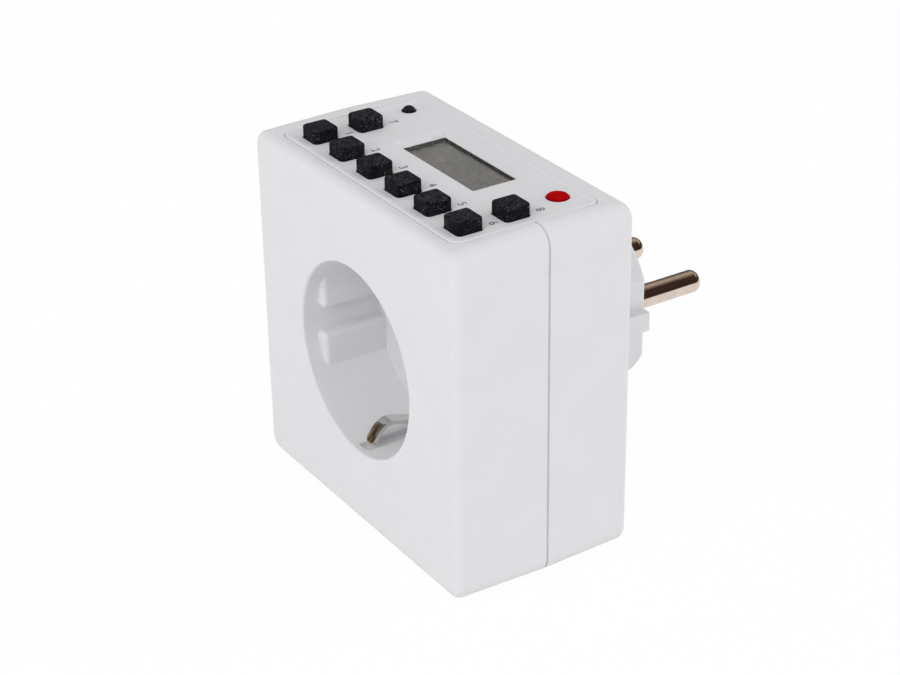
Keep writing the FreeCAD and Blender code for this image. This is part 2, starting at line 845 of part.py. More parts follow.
def lcd_sizes():
    """Half sizes of the display glass."""
    return (window_open_x / 2 + window_overlap + lcd_margin, window_open_y / 2 + window_overlap + lcd_margin)


def lcd_panel():
    """Liquid crystal display: an upper and a wider lower glass."""
    half_x, half_y = lcd_sizes()
    low = lcd_base_z()
    lower = box(window_x - half_x, window_x + half_x, window_y - half_y, window_y + half_y,
                low, low + lcd_thickness / 2)
    upper = box(window_x - half_x, window_x + half_x, window_y - half_y + lcd_glass_step,
                window_y + half_y, low + lcd_thickness / 2, low + lcd_thickness)
    save("lcd_panel", lower.fuse(upper))


def lcd_frame():
    """Frame that holds the display above the control board."""
    half_x, half_y = lcd_sizes()
    gap = fit_gap
    outer = plate_z(half_x + gap + lcd_frame_wall, half_y + gap + lcd_frame_wall, lcd_frame_corner,
                    control_top_z, lcd_base_z() + 0.85 * lcd_thickness, window_x, window_y)
    ledge = plate_z(half_x - lcd_ledge, half_y - lcd_ledge, lcd_frame_corner / 2, control_top_z - past,
                    case_half, window_x, window_y)
    room = box(window_x - half_x - gap, window_x + half_x + gap, window_y - half_y - gap,
               window_y + half_y + gap, lcd_base_z() - seat_gap, case_half)
    save("lcd_frame", outer.cut([ledge, room, zebra_box(gap)]))


def zebra_box(grow):
    half_x, half_y = lcd_sizes()
    front_y = window_y - half_y + zebra_inset
    return box(window_x - half_x + zebra_end - grow, window_x + half_x - zebra_end + grow, front_y - grow,
               front_y + zebra_width + grow, control_top_z + seat_gap - grow, lcd_base_z() - seat_gap + grow)


def zebra_strip():
    """Elastomer strip that connects the display to the control board."""
    save("zebra_strip", zebra_box(0))


def square_key(name, x, y):
    """Square rubber key with its contact pill."""
    body = plate_z(key_size_x / 2, key_size_y / 2, key_corner, key_base_z, key_top_z, x, y)
    body = body.makeFillet(key_edge, edges_at(body, lambda p, e: abs(p.z - key_top_z) < 0.01))
    pill = rod_z(pill_radius, control_top_z + key_travel + seat_gap, key_base_z + bite, x, y)
    save(name, body.fuse(pill).removeSplitter())


def key_web(name, x, y, base_radius):
    """Thin rubber cone that carries a key and springs it back."""
    outer = Part.makeCone(base_radius, base_radius - web_spread, web_height, vec(x, y, mat_top_z))
    inner = Part.makeCone(base_radius - web_thickness, base_radius - web_spread - web_thickness,
                          web_height, vec(x, y, mat_top_z))
    save(name, outer.cut(inner))


def reset_button():
    """Small round reset nub on a flange under the panel."""
    flange_top = key_base_z + reset_flange_thickness
    flange = rod_z(reset_flange_radius, key_base_z, flange_top, reset_x, reset_y)
    stem = rod_z(reset_radius, key_base_z, field_z, reset_x, reset_y)
    ball_radius = (reset_radius ** 2 + reset_dome ** 2) / (2 * reset_dome)
    ball = Part.makeSphere(ball_radius, vec(reset_x, reset_y, field_z + reset_dome - ball_radius))
    cap = ball.common(rod_z(reset_radius, field_z - bite, field_z + 2 * reset_dome, reset_x, reset_y))
    pill = rod_z(reset_pill_radius, control_top_z + reset_travel + seat_gap, key_base_z + bite, reset_x,
                 reset_y)
    save("reset_button", joined([flange, stem, cap, pill]))


def keypad():
    """Rubber mat under the panel, its webs, the keys and the reset button."""
    key_web_radius = key_size_x / 2 + key_web_reach
    reset_web_radius = reset_flange_radius + reset_web_reach
    left = key_row_x - mat_left
    right = key_last_x + mat_right
    front = key_row_y - mat_front
    step_y = key_row_y + mat_rear
    side_y = key_back_y + mat_rear
    inner_left = key_row_x + mat_inner
    inner_right = key_last_x - mat_inner
    rear = reset_y + mat_end
    outline = [(left, front), (right, front), (right, side_y), (inner_right, side_y),
               (inner_right, step_y), (inner_left, step_y), (inner_left, rear), (left, rear)]
    mat = outline_solid(outline, lambda a, b: vec(a, b, control_top_z), vec(0, 0, mat_thickness))
    holes = []
    for name, x, y in key_places():
        holes.append(rod_z(key_web_radius - mat_lip, control_top_z - past, mat_top_z + past, x, y))
        square_key(name, x, y)
        key_web(name + "_web", x, y, key_web_radius)
    holes.append(rod_z(reset_web_radius - mat_lip, control_top_z - past, mat_top_z + past, reset_x, reset_y))
    reset_button()
    key_web("reset_button_web", reset_x, reset_y, reset_web_radius)
    for x, y in board_posts():
        holes.append(rod_z(board_post_radius + post_gap, control_top_z - past, mat_top_z + past, x, y))
    save("keypad_mat", mat.cut(holes))


def indicator():
    """Red lens in the panel and the light-emitting diode under it."""
    led_top = control_top_z + led_height
    top = field_z + lamp_height
    flange_z = panel_under_z - lamp_flange_thickness - touch_gap
    lens = rod_z(lamp_radius, led_top + led_gap, top, lamp_x, lamp_y)
    lens = lens.makeFillet(lamp_edge, edges_at(lens, lambda p, e: abs(p.z - top) < 0.01))
    flange = rod_z(lamp_flange_radius, flange_z, flange_z + lamp_flange_thickness, lamp_x, lamp_y)
    save("indicator_lens", lens.fuse(flange).removeSplitter())
    base = rod_z(led_radius + led_rim, control_top_z, control_top_z + led_rim_height, lamp_x, lamp_y)
    stem = rod_z(led_radius, control_top_z, led_top - led_radius, lamp_x, lamp_y)
    dome = Part.makeSphere(led_radius, vec(lamp_x, lamp_y, led_top - led_radius))
    save("indicator_led", joined([base, stem, dome]))


# Control board and what it carries
def control_board():
    """Board under the keypad."""
    low = control_top_z - board_thickness
    board = box(-control_board_half_x, control_board_half_x, panel_front_y + control_board_front,
                panel_rear_y - control_board_rear, low, control_top_z)
    hole_radius = board_screw_radius + board_hole_gap
    holes = [rod_z(hole_radius, low - past, control_top_z + past, x, y) for x, y in board_posts()]
    save("control_board", board.cut(holes))


def control_board_parts():
    """Chip, crystal and battery under the control board, and the cable down to the power board."""
    low = control_top_z - board_thickness
    resin_y = window_y + resin_behind
    ball_radius = (resin_radius ** 2 + resin_height ** 2) / (2 * resin_height)
    ball = Part.makeSphere(ball_radius, vec(resin_x, resin_y, low - resin_height + ball_radius))
    under = rod_z(resin_radius + past, low - 2 * resin_height, low, resin_x, resin_y)
    save("controller_chip", ball.common(under))
    half = crystal_length / 2
    crystal_y = window_y + crystal_behind
    can = rod_x(crystal_radius, crystal_x - half, crystal_x + half, crystal_y, low - crystal_radius)
    leads = box(crystal_x + half - bite, crystal_x + half + 2 * lead_width, crystal_y - lead_width,
                crystal_y + lead_width, low - crystal_radius, low)
    save("clock_crystal", can.fuse(leads))
    cell = rod_z(battery_radius, low - part_lift - battery_height, low - part_lift, battery_x, battery_y)
    cell = cell.makeFillet(0.6, edges_at(cell, lambda p, e: e.Length > 2 * battery_radius))
    half = battery_tab / 2
    tab = box(battery_x - half, battery_x + half, battery_y - half, battery_y + half,
              low - part_lift - bite, low)
    save("backup_battery", cell.fuse(tab))
    cable_x = carrier_screw_x + carrier_lug_radius + cable_carrier_gap + cable_width / 2
    cable_y = power_board_y + part_lift
    save("board_cable", box(cable_x - cable_width / 2, cable_x + cable_width / 2, cable_y,
                            cable_y + cable_thickness, power_board_top, low))


# Power board and what it carries
def power_board():
    """Board under the socket recess that carries the relay and the supply."""
    rear = power_board_y + board_thickness
    board = box(-power_board_half_x, power_board_half_x, power_board_y, rear, power_board_low,
                power_board_top)
    corner = screw_post_radius + 0.8
    cuts = []
    for side in (-1, 1):
        cuts.append(rod_y(corner, power_board_y - past, rear + past, side * screw_x, screw_low_z))
        cuts.append(rod_y(board_screw_radius + board_hole_gap, power_board_y - past, rear + past,
                          side * power_post_x, power_post_z))
    save("power_board", board.cut(cuts))


def relay():
    """Power relay: cover, base with bobbin, winding, yoke with core, armature and fixed contact."""
    x0 = relay_left
    x1 = relay_right
    z1 = -cup_outer - relay_cup_gap
    z0 = z1 - relay_height
    middle_z = (z0 + z1) / 2
    floor_y = power_board_y - relay_base_thickness
    rim = part_scale * (winding_radius + bobbin_rim)
    yoke_y = floor_y - winding_foot - 2 * rim - fit_gap
    front = yoke_y - yoke_thickness - yoke_front_gap - relay_wall
    wall_in = relay_wall
    cover = box(x0, x1, front, floor_y - seat_gap, z0, z1)
    room = box(x0 + wall_in, x1 - wall_in, front + wall_in, power_board_y, z0 + wall_in, z1 - wall_in)
    save("relay_cover", cover.cut(room))

    # Winding between the two rims of the bobbin, which is moulded with the base
    coil_y = floor_y - rim - winding_foot
    coil_x0 = x0 + relay_wall + yoke_wall_gap + yoke_thickness + yoke_leg_gap
    contact_length = part_scale * (moving_arm_reach + button_radius + contact_room)
    coil_x1 = x1 - relay_wall - armature_gap - contact_length
    core = part_scale * core_radius
    bore = core + seat_gap
    base = [box(x0, x1, floor_y, power_board_y, z0, z1)]
    for start_x in (coil_x0, coil_x1 - bobbin_rim_thickness):
        plate = box(start_x, start_x + bobbin_rim_thickness, coil_y - rim, floor_y + 0.1, middle_z - rim,
                    middle_z + rim)
        base.append(plate.cut(rod_x(bore, start_x - 1, start_x + 2, coil_y, middle_z)))
    save("relay_base", joined(base))
    inset = bobbin_rim_thickness + seat_gap
    winding = rod_x(part_scale * winding_radius, coil_x0 + inset, coil_x1 - inset, coil_y, middle_z)
    save("relay_winding", winding.cut(rod_x(bore, coil_x0, coil_x1, coil_y, middle_z)))

    # Yoke round the coil, with the core riveted into its leg
    end_x = coil_x1 + yoke_end_gap
    leg_x = coil_x0 - yoke_leg_gap
    half = part_scale * yoke_half_width
    core = rod_x(core, leg_x - bite, end_x, coil_y, middle_z)
    arm_y = yoke_y - yoke_thickness
    arm = box(leg_x - yoke_thickness, end_x, arm_y, yoke_y, middle_z - half, middle_z + half)
    leg = box(leg_x - yoke_thickness, leg_x, arm_y, floor_y, middle_z - half, middle_z + half)
    save("relay_yoke", joined([arm, leg, core]))

    # Armature drawn where the coil holds it, then opened about the end of the yoke
    hinge = vec(end_x + armature_gap, yoke_y - yoke_thickness / 2, middle_z)
    half = half - armature_side_gap
    back_x = hinge.x + armature_thickness
    plate = box(hinge.x, back_x, hinge.y - armature_past, floor_y - armature_foot, middle_z - half,
                middle_z + half)
    arm_y = floor_y - moving_arm_foot
    face_y = arm_y + moving_arm_thickness
    block_x = back_x + part_scale * arm_block_length
    half = part_scale * arm_block_half_width
    block = box(back_x - bite, block_x, arm_y - arm_block_ahead, arm_y + arm_block_behind, middle_z - half,
                middle_z + half)
    button_x = hinge.x + part_scale * moving_arm_reach
    radius = part_scale * button_radius
    half = part_scale * moving_arm_half_width
    spring_arm = box(block_x - bite, button_x + radius, arm_y, face_y, middle_z - half, middle_z + half)
    button = rod_y(radius, face_y - bite, face_y + button_height, button_x, middle_z)
    armature = joined([plate, block, spring_arm, button])
    armature.rotate(hinge, vec(0, 0, 1), -armature_turn)
    save("relay_armature", armature)
    fixed_y = face_y + button_height + seat_gap
    button = rod_y(radius, fixed_y, fixed_y + button_height, button_x, middle_z)
    half = part_scale * contact_post_half_width
    post = box(button_x - part_scale * contact_post_left, button_x + part_scale * contact_post_right,
               fixed_y + button_height - bite, floor_y, middle_z - half, middle_z + half)
    save("relay_fixed_contact", joined([button, post]))


def on_leads(body, board_y, toward, places):
    """A soldered part with two short leads down to its board."""
    half = lead_width / 2
    leads = []
    for x, z, reach in places:
        y0, y1 = sorted((board_y, board_y + toward * reach))
        leads.append(box(x - half, x + half, y0, y1, z - half, z + half))
    return body.fuse(leads)


def power_parts_in_front():
    """Film capacitor and varistor in front of the power board."""
    front = power_board_y
    half = part_scale * film_width / 2
    low = power_board_low + fit_gap * 2
    film = box(film_x - half, film_x + half, front - part_scale * film_height, front, low,
               low + part_scale * film_thickness)
    film = film.makeFillet(0.4, edges_at(film, lambda p, e: abs(p.y - front) > 0.01))
    save("film_capacitor", film)
    radius = part_scale * varistor_radius
    middle_z = power_board_low + radius + part_lift
    half = part_scale * varistor_thickness / 2
    disc = rod_x(radius, varistor_x - half, varistor_x + half, front - radius - part_lift, middle_z)
    places = [(varistor_x, middle_z + offset, 2.0) for offset in (-radius / 2, radius / 2)]
    save("varistor", on_leads(disc, front, -1, places))


def lanes():
    """Middles of the fuse, the diodes and the resistors, and of the gaps beside them for the wires."""
    widths = [part_scale * length + 2 * lead_width for length in (fuse_length, diode_length, resistor_length)]
    inner = can_x - part_scale * can_radius
    gap = (2 * inner - sum(widths)) / (len(widths) + 1)
    at = -inner
    parts = []
    gaps = []
    for width in widths:
        gaps.append(at + gap / 2)
        parts.append(at + gap + width / 2)
        at = at + gap + width
    return parts, gaps + [at + gap / 2]


def leaded_rod(radius, length, x, z, rear):
    """Round part that lies along x on its two leads."""
    half = length / 2
    lift = radius + part_lift
    body = rod_x(radius, x - half, x + half, rear + lift, z)
    reach = half + lead_width / 2 - bite
    return on_leads(body, rear, 1, [(x + side * reach, z, lift + bite) for side in (-1, 1)])


def power_parts_behind():
    """Capacitors, fuse, diodes, resistors and transistor behind the power board."""
    rear = power_board_y + board_thickness
    radius = part_scale * can_radius
    middle_z = power_board_low + radius + part_scale * can_foot
    cans = []
    for side in (-1, 1):
        can = rod_y(radius, rear, rear + can_length, side * can_x, middle_z)
        top = edges_at(can, lambda p, e: p.y > rear + can_length - 0.1 and e.Length > radius)
        cans.append(can.makeFillet(0.5, top))
    save("smoothing_capacitors", Part.makeCompound(cans))

    fuse_x, diode_x, resistor_x = lanes()[0]
    radius = part_scale * fuse_radius
    z = power_board_low + radius + fuse_foot
    save("thermal_fuse", leaded_rod(radius, part_scale * fuse_length, fuse_x, z, rear))
    diodes = []
    for row in range(4):
        z = power_board_top - part_scale * (diode_top + diode_pitch * row)
        diodes.append(leaded_rod(part_scale * diode_radius, part_scale * diode_length, diode_x, z, rear))
    save("rectifier_diodes", Part.makeCompound(diodes))
    resistors = []
    for row in range(3):
        z = power_board_top - part_scale * (resistor_top + resistor_pitch * row)
        resistors.append(leaded_rod(part_scale * resistor_radius, part_scale * resistor_length, resistor_x,
                                    z, rear))
    save("resistors", Part.makeCompound(resistors))

    x = fuse_x - transistor_side
    z = power_board_top - part_scale * transistor_top
    radius = part_scale * transistor_radius
    start = rear + 5 * part_lift
    body = rod_y(radius, start, start + transistor_length, x, z)
    body = body.cut(box(x - 2 * radius, x + 2 * radius, rear, start + 2 * transistor_length, z + radius / 2,
                        z + 2 * radius))
    offsets = [-part_scale * transistor_pitch, 0, part_scale * transistor_pitch]
    places = [(x + offset, z, 5 * part_lift + bite) for offset in offsets]
    save("relay_transistor", on_leads(body, rear, 1, places))


# Shutter, contacts and earth path
def shutter_places():
    """Depth of the shutter and of the plate behind it."""
    front = cup_back_y + shutter_run_gap
    plate = front + shutter_thickness + shutter_run_gap
    return front, plate


def shutter_top():
    return shutter_travel + pin_hole_radius + shutter_margin


def spring_floor():
    return -shutter_low - shutter_travel - spring_room


def safety_shutter():
    """Shutter that covers both pin holes until two pins press on its slopes."""
    front, plate = shutter_places()
    low = -shutter_low
    body = box(-shutter_half_x, shutter_half_x, front, front + shutter_thickness, low, shutter_top())
    cuts = []
    for side in (-1, 1):
        cuts.append(rod_y(pin_hole_radius + fit_gap, front - past, plate + past, side * pin_x,
                          shutter_travel))
        hole_low = shutter_travel - pin_hole_radius
        slope_end = front + shutter_thickness - shutter_lip
        slope = outline_solid([(front - 0.01, hole_low + past), (front - 0.01, hole_low - shutter_slope),
                               (slope_end, hole_low + bite), (slope_end, hole_low + past)],
                              lambda a, b: vec(side * pin_x - shutter_slope_half_x, a, b),
                              vec(2 * shutter_slope_half_x, 0, 0))
        cuts.append(slope)
    save("safety_shutter", body.cut(cuts))


def shutter_spring():
    """Folded flat spring that lifts the shutter."""
    front = shutter_places()[0]
    high = -shutter_low - seat_gap
    low = spring_floor() + seat_gap
    swing = spring_half_width - spring_half_band
    places = []
    for step in range(spring_folds + 1):
        places.append((-swing if step % 2 else swing, low + (high - low) * step / spring_folds))
    outline = [(x + spring_half_band, z) for x, z in places]
    outline += [(x - spring_half_band, z) for x, z in reversed(places)]
    spring = outline_solid(outline, lambda a, b: vec(a, front + fit_gap, b),
                           vec(0, shutter_thickness - 2 * fit_gap, 0))
    save("shutter_spring", spring)


def contact_carrier():
    """Carrier screwed behind the recess: it guides the shutter and holds the contacts."""
    plate = shutter_places()[1]
    half = shutter_half_x + shutter_run_gap + carrier_wall
    top = shutter_top() + shutter_run_gap + carrier_wall
    low = spring_floor() - carrier_wall
    rear = plate + carrier_plate
    seat_y = cup_back_y + touch_gap
    body = box(-half, half, seat_y, rear, low, top)
    room_x = shutter_half_x + shutter_run_gap
    room_top = shutter_top() + shutter_run_gap
    room_low = -shutter_low - shutter_travel - shutter_run_gap
    body = body.cut(box(-room_x, room_x, cup_back_y - past, plate, room_low, room_top))
    spring_x = spring_half_width + spring_side_gap
    body = body.cut(box(-spring_x, spring_x, cup_back_y - past, plate, spring_floor(), 0))
    lug_x = carrier_screw_x + carrier_lug_radius
    lugs = box(-lug_x, lug_x, plate, rear, carrier_screw_z - carrier_lug_radius,
               carrier_screw_z + carrier_lug_radius)
    pads = [rod_y(carrier_lug_radius, seat_y, rear, side * carrier_screw_x, carrier_screw_z)
            for side in (-1, 1)]
    body = body.fuse([lugs] + pads)
    pockets = []
    for side in (-1, 1):
        x = side * pin_x
        outer = box(x - pocket_half_x - pocket_wall, x + pocket_half_x + pocket_wall, rear - bite,
                    rear + pocket_depth, -pocket_half_z - pocket_wall, pocket_half_z + pocket_wall)
        pockets.append(outer.cut(box(x - pocket_half_x, x + pocket_half_x, rear - past,
                                     rear + pocket_depth + past, -pocket_half_z, pocket_half_z)))
    body = body.fuse(pockets)
    cuts = []
    for side in (-1, 1):
        cuts.append(rod_y(pin_hole_radius + 2 * fit_gap, plate - past, rear + past, side * pin_x, 0))
        cuts.append(rod_y(board_screw_radius + board_hole_gap, cup_back_y - past, rear + past,
                          side * carrier_screw_x, carrier_screw_z))
    save("contact_carrier", body.cut(cuts).removeSplitter())


def small_screw(seat, direction, length):
    """Slotted screw whose head rests at a place; its shank runs along a direction."""
    out = direction * -1
    head = Part.makeCylinder(board_screw_head, board_screw_head_height, seat, out)
    shank = Part.makeCylinder(board_screw_radius - seat_gap, length, seat, direction)
    reach = 2 * board_screw_head
    slot = Part.makeBox(board_screw_slot, 2 * reach, reach, vec(-board_screw_slot / 2, -reach, 0))
    turn = FreeCAD.Rotation(vec(0, 0, 1), out)
    slot.Placement = FreeCAD.Placement(seat + out * (board_screw_head_height / 2), turn,
                                       vec(0, 0, 0)).multiply(slot.Placement)
    return head.fuse(shank).cut(slot)


def board_screws():
    """Eight small screws: four hold the control board, two the power board, two the carrier."""
    plate = shutter_places()[1]
    screws = []
    for x, y in board_posts():
        screws.append(small_screw(vec(x, y, control_top_z - board_thickness), vec(0, 0, 1),
                                  board_screw_length))
    for side in (-1, 1):
        screws.append(small_screw(vec(side * power_post_x, power_board_y + board_thickness, power_post_z),
                                  vec(0, -1, 0), board_screw_length))
        screws.append(small_screw(vec(side * carrier_screw_x, plate + carrier_plate, carrier_screw_z),
                                  vec(0, -1, 0), carrier_screw_length))
    save("board_screws", Part.makeCompound(screws))


def contact_shape(x):
    """Forked spring contact that grips a pin from above and below."""
    plate = shutter_places()[1]
    mouth_y = plate + carrier_plate + contact_mouth_gap
    mouth = pocket_half_z - contact_thickness / 2 - contact_pocket_gap
    pinch = contact_pinch + contact_thickness / 2
    end_y = recess_depth + pin_length + contact_thickness / 2 + contact_end_gap
    upper = [(mouth_y, mouth), (mouth_y + contact_funnel, pinch),
             (mouth_y + contact_grip_end, pinch + contact_spread),
             (end_y - contact_rear_start, pinch + contact_rear_spread),
             (end_y - contact_bow, pinch - contact_bow_in)]
    points = upper + [(end_y, 0)] + [(y, -z) for y, z in reversed(upper)]
    return bent_strip(points, contact_thickness, x - contact_width / 2, x + contact_width / 2)


def tail_y():
    """Inner end of a plug pin."""
    return plug_face_y - plug_end_wall - pin_boss_depth - pin_collar_thickness - pin_tail_length


def socket_contacts():
    """Live contact, and neutral contact with its link to the neutral plug pin."""
    save("live_contact", contact_shape(-pin_x))
    back = recess_depth + pin_length + contact_end_gap + bite
    half = contact_thickness / 2
    link = box(pin_x - link_half_width, pin_x + link_half_width, back, tail_y() + link_overlap, -half, half)
    save("neutral_contact", contact_shape(pin_x).fuse(link).removeSplitter())


def plug_pin(name, side):
    """Turned plug pin with a press-fit shoulder, a collar and a slotted tail."""
    x = side * pin_x
    collar_y = plug_face_y - plug_end_wall - pin_boss_depth
    post = rod_y(pin_radius, plug_face_y - 1, plug_face_y + pin_length, x, 0)
    tip = edges_at(post, lambda p, e: p.y > plug_face_y + pin_length - 0.01)
    post = post.makeFillet(pin_tip_fillet, tip)
    shoulder = rod_y(pin_press_radius, collar_y - bite, plug_face_y, x, 0)
    collar = rod_y(pin_collar_radius, collar_y - pin_collar_thickness, collar_y - touch_gap, x, 0)
    tail = rod_y(pin_tail_radius, tail_y(), collar_y - 0.5, x, 0)
    pin = joined([post, shoulder, collar, tail])
    slot = contact_thickness / 2 + seat_gap
    save(name, pin.cut(box(x - pin_radius, x + pin_radius, tail_y() - past, tail_y() + pin_slot_depth,
                           -slot, slot)))


def earth_clip_line(side):
    """Middle line of the earth clip in the recess; side is 1 for the top one."""
    half = clip_thickness / 2
    inner = [(y, recess_radius - distance) for y, distance in clip_points]
    inner.append((recess_depth - clip_foot_ahead, earth_leg_z - clip_foot_in))
    inner.append((recess_depth + clip_foot_behind, earth_leg_z))
    return [(y, side * (z + half)) for y, z in inner]


def earth_bracket():
    """One brass strip: both earth clips of the socket and the bridge between them."""
    half_width = clip_width / 2
    pieces = []
    for side in (-1, 1):
        line = earth_clip_line(side)
        clip = bent_strip(line, clip_thickness, -half_width, half_width)
        tip = edges_at(clip, lambda p, e: p.y < line[0][0] + clip_tip_zone and abs(abs(p.x) - half_width) < 0.01
                       and e.Length < 2 * clip_thickness)
        clip = clip.makeFillet(clip_tip_radius, tip)
        end_y, end_z = line[-1]
        z0, z1 = sorted((end_z - side * clip_thickness / 2, end_z + side * clip_thickness / 2))
        clip = clip.fuse(box(-half_width, half_width, end_y - 0.05, bridge_y + clip_thickness, z0, z1))
        pieces.append(clip)
    reach = earth_leg_z + clip_thickness
    pieces.append(box(-half_width, half_width, bridge_y, bridge_y + clip_thickness, -reach, reach))
    whole = joined(pieces)
    holes = [rod_y(rivet_radius + seat_gap, bridge_y - past, bridge_y + clip_thickness + past, 0,
                   side * plug_contact_leg_z) for side in (-1, 1)]
    save("earth_bracket", whole.cut(holes))


def plug_earth_contacts():
    """Earth strips of the plug: outside each lies in its groove, inside it reaches the bridge."""
    half = clip_thickness / 2
    strips = []
    for side in (-1, 1):
        outer_z = side * (earth_groove_z + half + touch_gap)
        leg_z = side * plug_contact_leg_z
        turn_y = plug_face_y - plug_end_wall - half
        foot_y = bridge_y + clip_thickness + half + touch_gap
        inner_z = side * (plug_contact_leg_z - plug_contact_step)
        start_y = case_depth + earth_groove_start + plug_contact_in
        line = [(start_y, outer_z), (turn_y, outer_z), (turn_y, inner_z),
                (foot_y, inner_z), (foot_y, leg_z + side * plug_contact_foot)]
        strip = folded_strip(line, clip_thickness, -plug_contact_width / 2, plug_contact_width / 2)
        strips.append(strip.cut(rod_y(rivet_radius + seat_gap, foot_y - 1, foot_y + 1, 0, leg_z)))
    save("plug_earth_contacts", Part.makeCompound(strips))


def earth_rivets():
    """Rivets that join the plug's earth strips to the bridge."""
    rivets = []
    front = bridge_y
    rear = bridge_y + 2 * clip_thickness + touch_gap
    for side in (-1, 1):
        z = side * plug_contact_leg_z
        shank = rod_y(rivet_radius, front - bite, rear + bite, 0, z)
        heads = [rod_y(rivet_head_radius, front - rivet_head_height, front, 0, z),
                 rod_y(rivet_head_radius, rear, rear + rivet_head_height, 0, z)]
        rivets.append(joined([shank] + heads))
    save("earth_rivets", Part.makeCompound(rivets))


def part_way(start, end, shares):
    """Points on the way from start to end, each at its own share of the way along x, y and z."""
    return [tuple(a + (b - a) * share for a, b, share in zip(start, end, row)) for row in shares]


def supply_wires():
    """Wires between the live pin, the contacts and the power board."""
    solder_y = power_board_y + board_thickness
    live_x, left_x, right_x = lanes()[1][:3]
    start = (-pin_x, tail_y() - seat_gap, 0)
    end = (live_x, solder_y, power_board_top - live_joint_down)
    bends = [(0, 0.15, 0), (0.45, 0.26, 0.28), (0.62, 0.44, 0.5), (1, 0.68, 0.72), (1, 0.8, 1)]
    wires = [wire_tube([start] + part_way(start, end, bends) + [end], wire_radius)]
    leaf_z = -contact_pinch - contact_thickness - wire_leaf_gap
    for x, end_x in ((-pin_x, left_x), (pin_x, right_x)):
        start = (x, recess_depth + wire_leaf_y, leaf_z)
        end = (end_x, solder_y, power_board_top - wire_joint_down)
        bends = [(0, 0, 0.37), (0.6, 0.1, 0.75), (1, 0.44, 1)]
        wires.append(wire_tube([start] + part_way(start, end, bends) + [end], wire_radius))
    save("supply_wires", Part.makeCompound(wires))


front_shell()
rear_shell()
case_screws()
control_panel()
display_window()
lcd_panel()
lcd_frame()
zebra_strip()
keypad()
indicator()
control_board()
control_board_parts()
power_board()
relay()
power_parts_in_front()
power_parts_behind()
safety_shutter()
shutter_spring()
contact_carrier()
board_screws()
socket_contacts()
plug_pin("plug_pin_live", -1)
plug_pin("plug_pin_neutral", 1)
earth_bracket()
plug_earth_contacts()
earth_rivets()
supply_wires()
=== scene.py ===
import bpy
import json
import math
from mathutils import Matrix, Vector

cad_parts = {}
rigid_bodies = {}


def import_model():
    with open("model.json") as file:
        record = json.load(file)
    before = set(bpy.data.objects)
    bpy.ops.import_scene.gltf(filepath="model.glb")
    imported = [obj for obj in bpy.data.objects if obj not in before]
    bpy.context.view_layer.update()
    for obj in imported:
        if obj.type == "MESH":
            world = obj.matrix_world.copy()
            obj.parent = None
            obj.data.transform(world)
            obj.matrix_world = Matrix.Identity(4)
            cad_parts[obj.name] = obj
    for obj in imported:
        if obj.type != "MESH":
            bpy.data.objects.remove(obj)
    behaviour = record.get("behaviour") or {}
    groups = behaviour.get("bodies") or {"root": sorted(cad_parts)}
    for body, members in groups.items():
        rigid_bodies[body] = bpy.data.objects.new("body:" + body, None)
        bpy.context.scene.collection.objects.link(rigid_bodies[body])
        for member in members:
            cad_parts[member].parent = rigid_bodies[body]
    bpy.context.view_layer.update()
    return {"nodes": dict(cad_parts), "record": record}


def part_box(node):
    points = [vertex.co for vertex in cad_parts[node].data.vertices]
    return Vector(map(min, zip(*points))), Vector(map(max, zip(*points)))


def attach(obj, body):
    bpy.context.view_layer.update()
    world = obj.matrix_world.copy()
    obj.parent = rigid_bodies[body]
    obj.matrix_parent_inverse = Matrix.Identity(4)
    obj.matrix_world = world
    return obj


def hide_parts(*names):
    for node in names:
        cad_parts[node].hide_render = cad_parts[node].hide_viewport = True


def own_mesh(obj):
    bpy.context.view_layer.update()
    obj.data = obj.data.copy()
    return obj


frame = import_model()
print("frame loaded:", len(frame["nodes"]), "nodes")

mm = 0.001
scene = bpy.context.scene
scene.view_settings.view_transform = "Standard"
nodes = frame["nodes"]


# camera
cameraSetup = {
    "azimuth": 57.344,      # degrees from the socket face towards the right side
    "elevation": 27.915,
    "roll": -0.864,
    "target": (0.000218, -0.01615, 0.035184),
    "distance": 0.441233,
    "lens": 89.54,          # this and the sensor's width in millimetres
    "sensor": 36,
}


def makeCamera(setup):
    turns = ("azimuth", "elevation", "roll")
    azimuth, elevation, roll = [math.radians(setup[turn]) for turn in turns]
    back = Vector((math.sin(azimuth) * math.cos(elevation),
                   -math.cos(azimuth) * math.cos(elevation),
                   math.sin(elevation)))
    right = (-back).cross(Vector((0, 0, 1))).normalized()
    up = right.cross(-back)
    tiltedRight = math.cos(roll) * right + math.sin(roll) * up
    tiltedUp = -math.sin(roll) * right + math.cos(roll) * up
    place = Matrix((tiltedRight, tiltedUp, back)).transposed().to_4x4()
    place.translation = Vector(setup["target"]) + back * setup["distance"]
    data = bpy.data.cameras.new("camera")
    data.sensor_width = setup["sensor"]
    data.lens = setup["lens"]
    camera = bpy.data.objects.new("camera", data)
    camera.matrix_world = place
    scene.collection.objects.link(camera)
    scene.camera = camera


makeCamera(cameraSetup)
print("camera placed")


# small helpers for node materials
noiseSpan = (0.3, 0.7)      # nearly all of a noise lies between these
noiseCore = (0.35, 0.65)    # and most of it between these


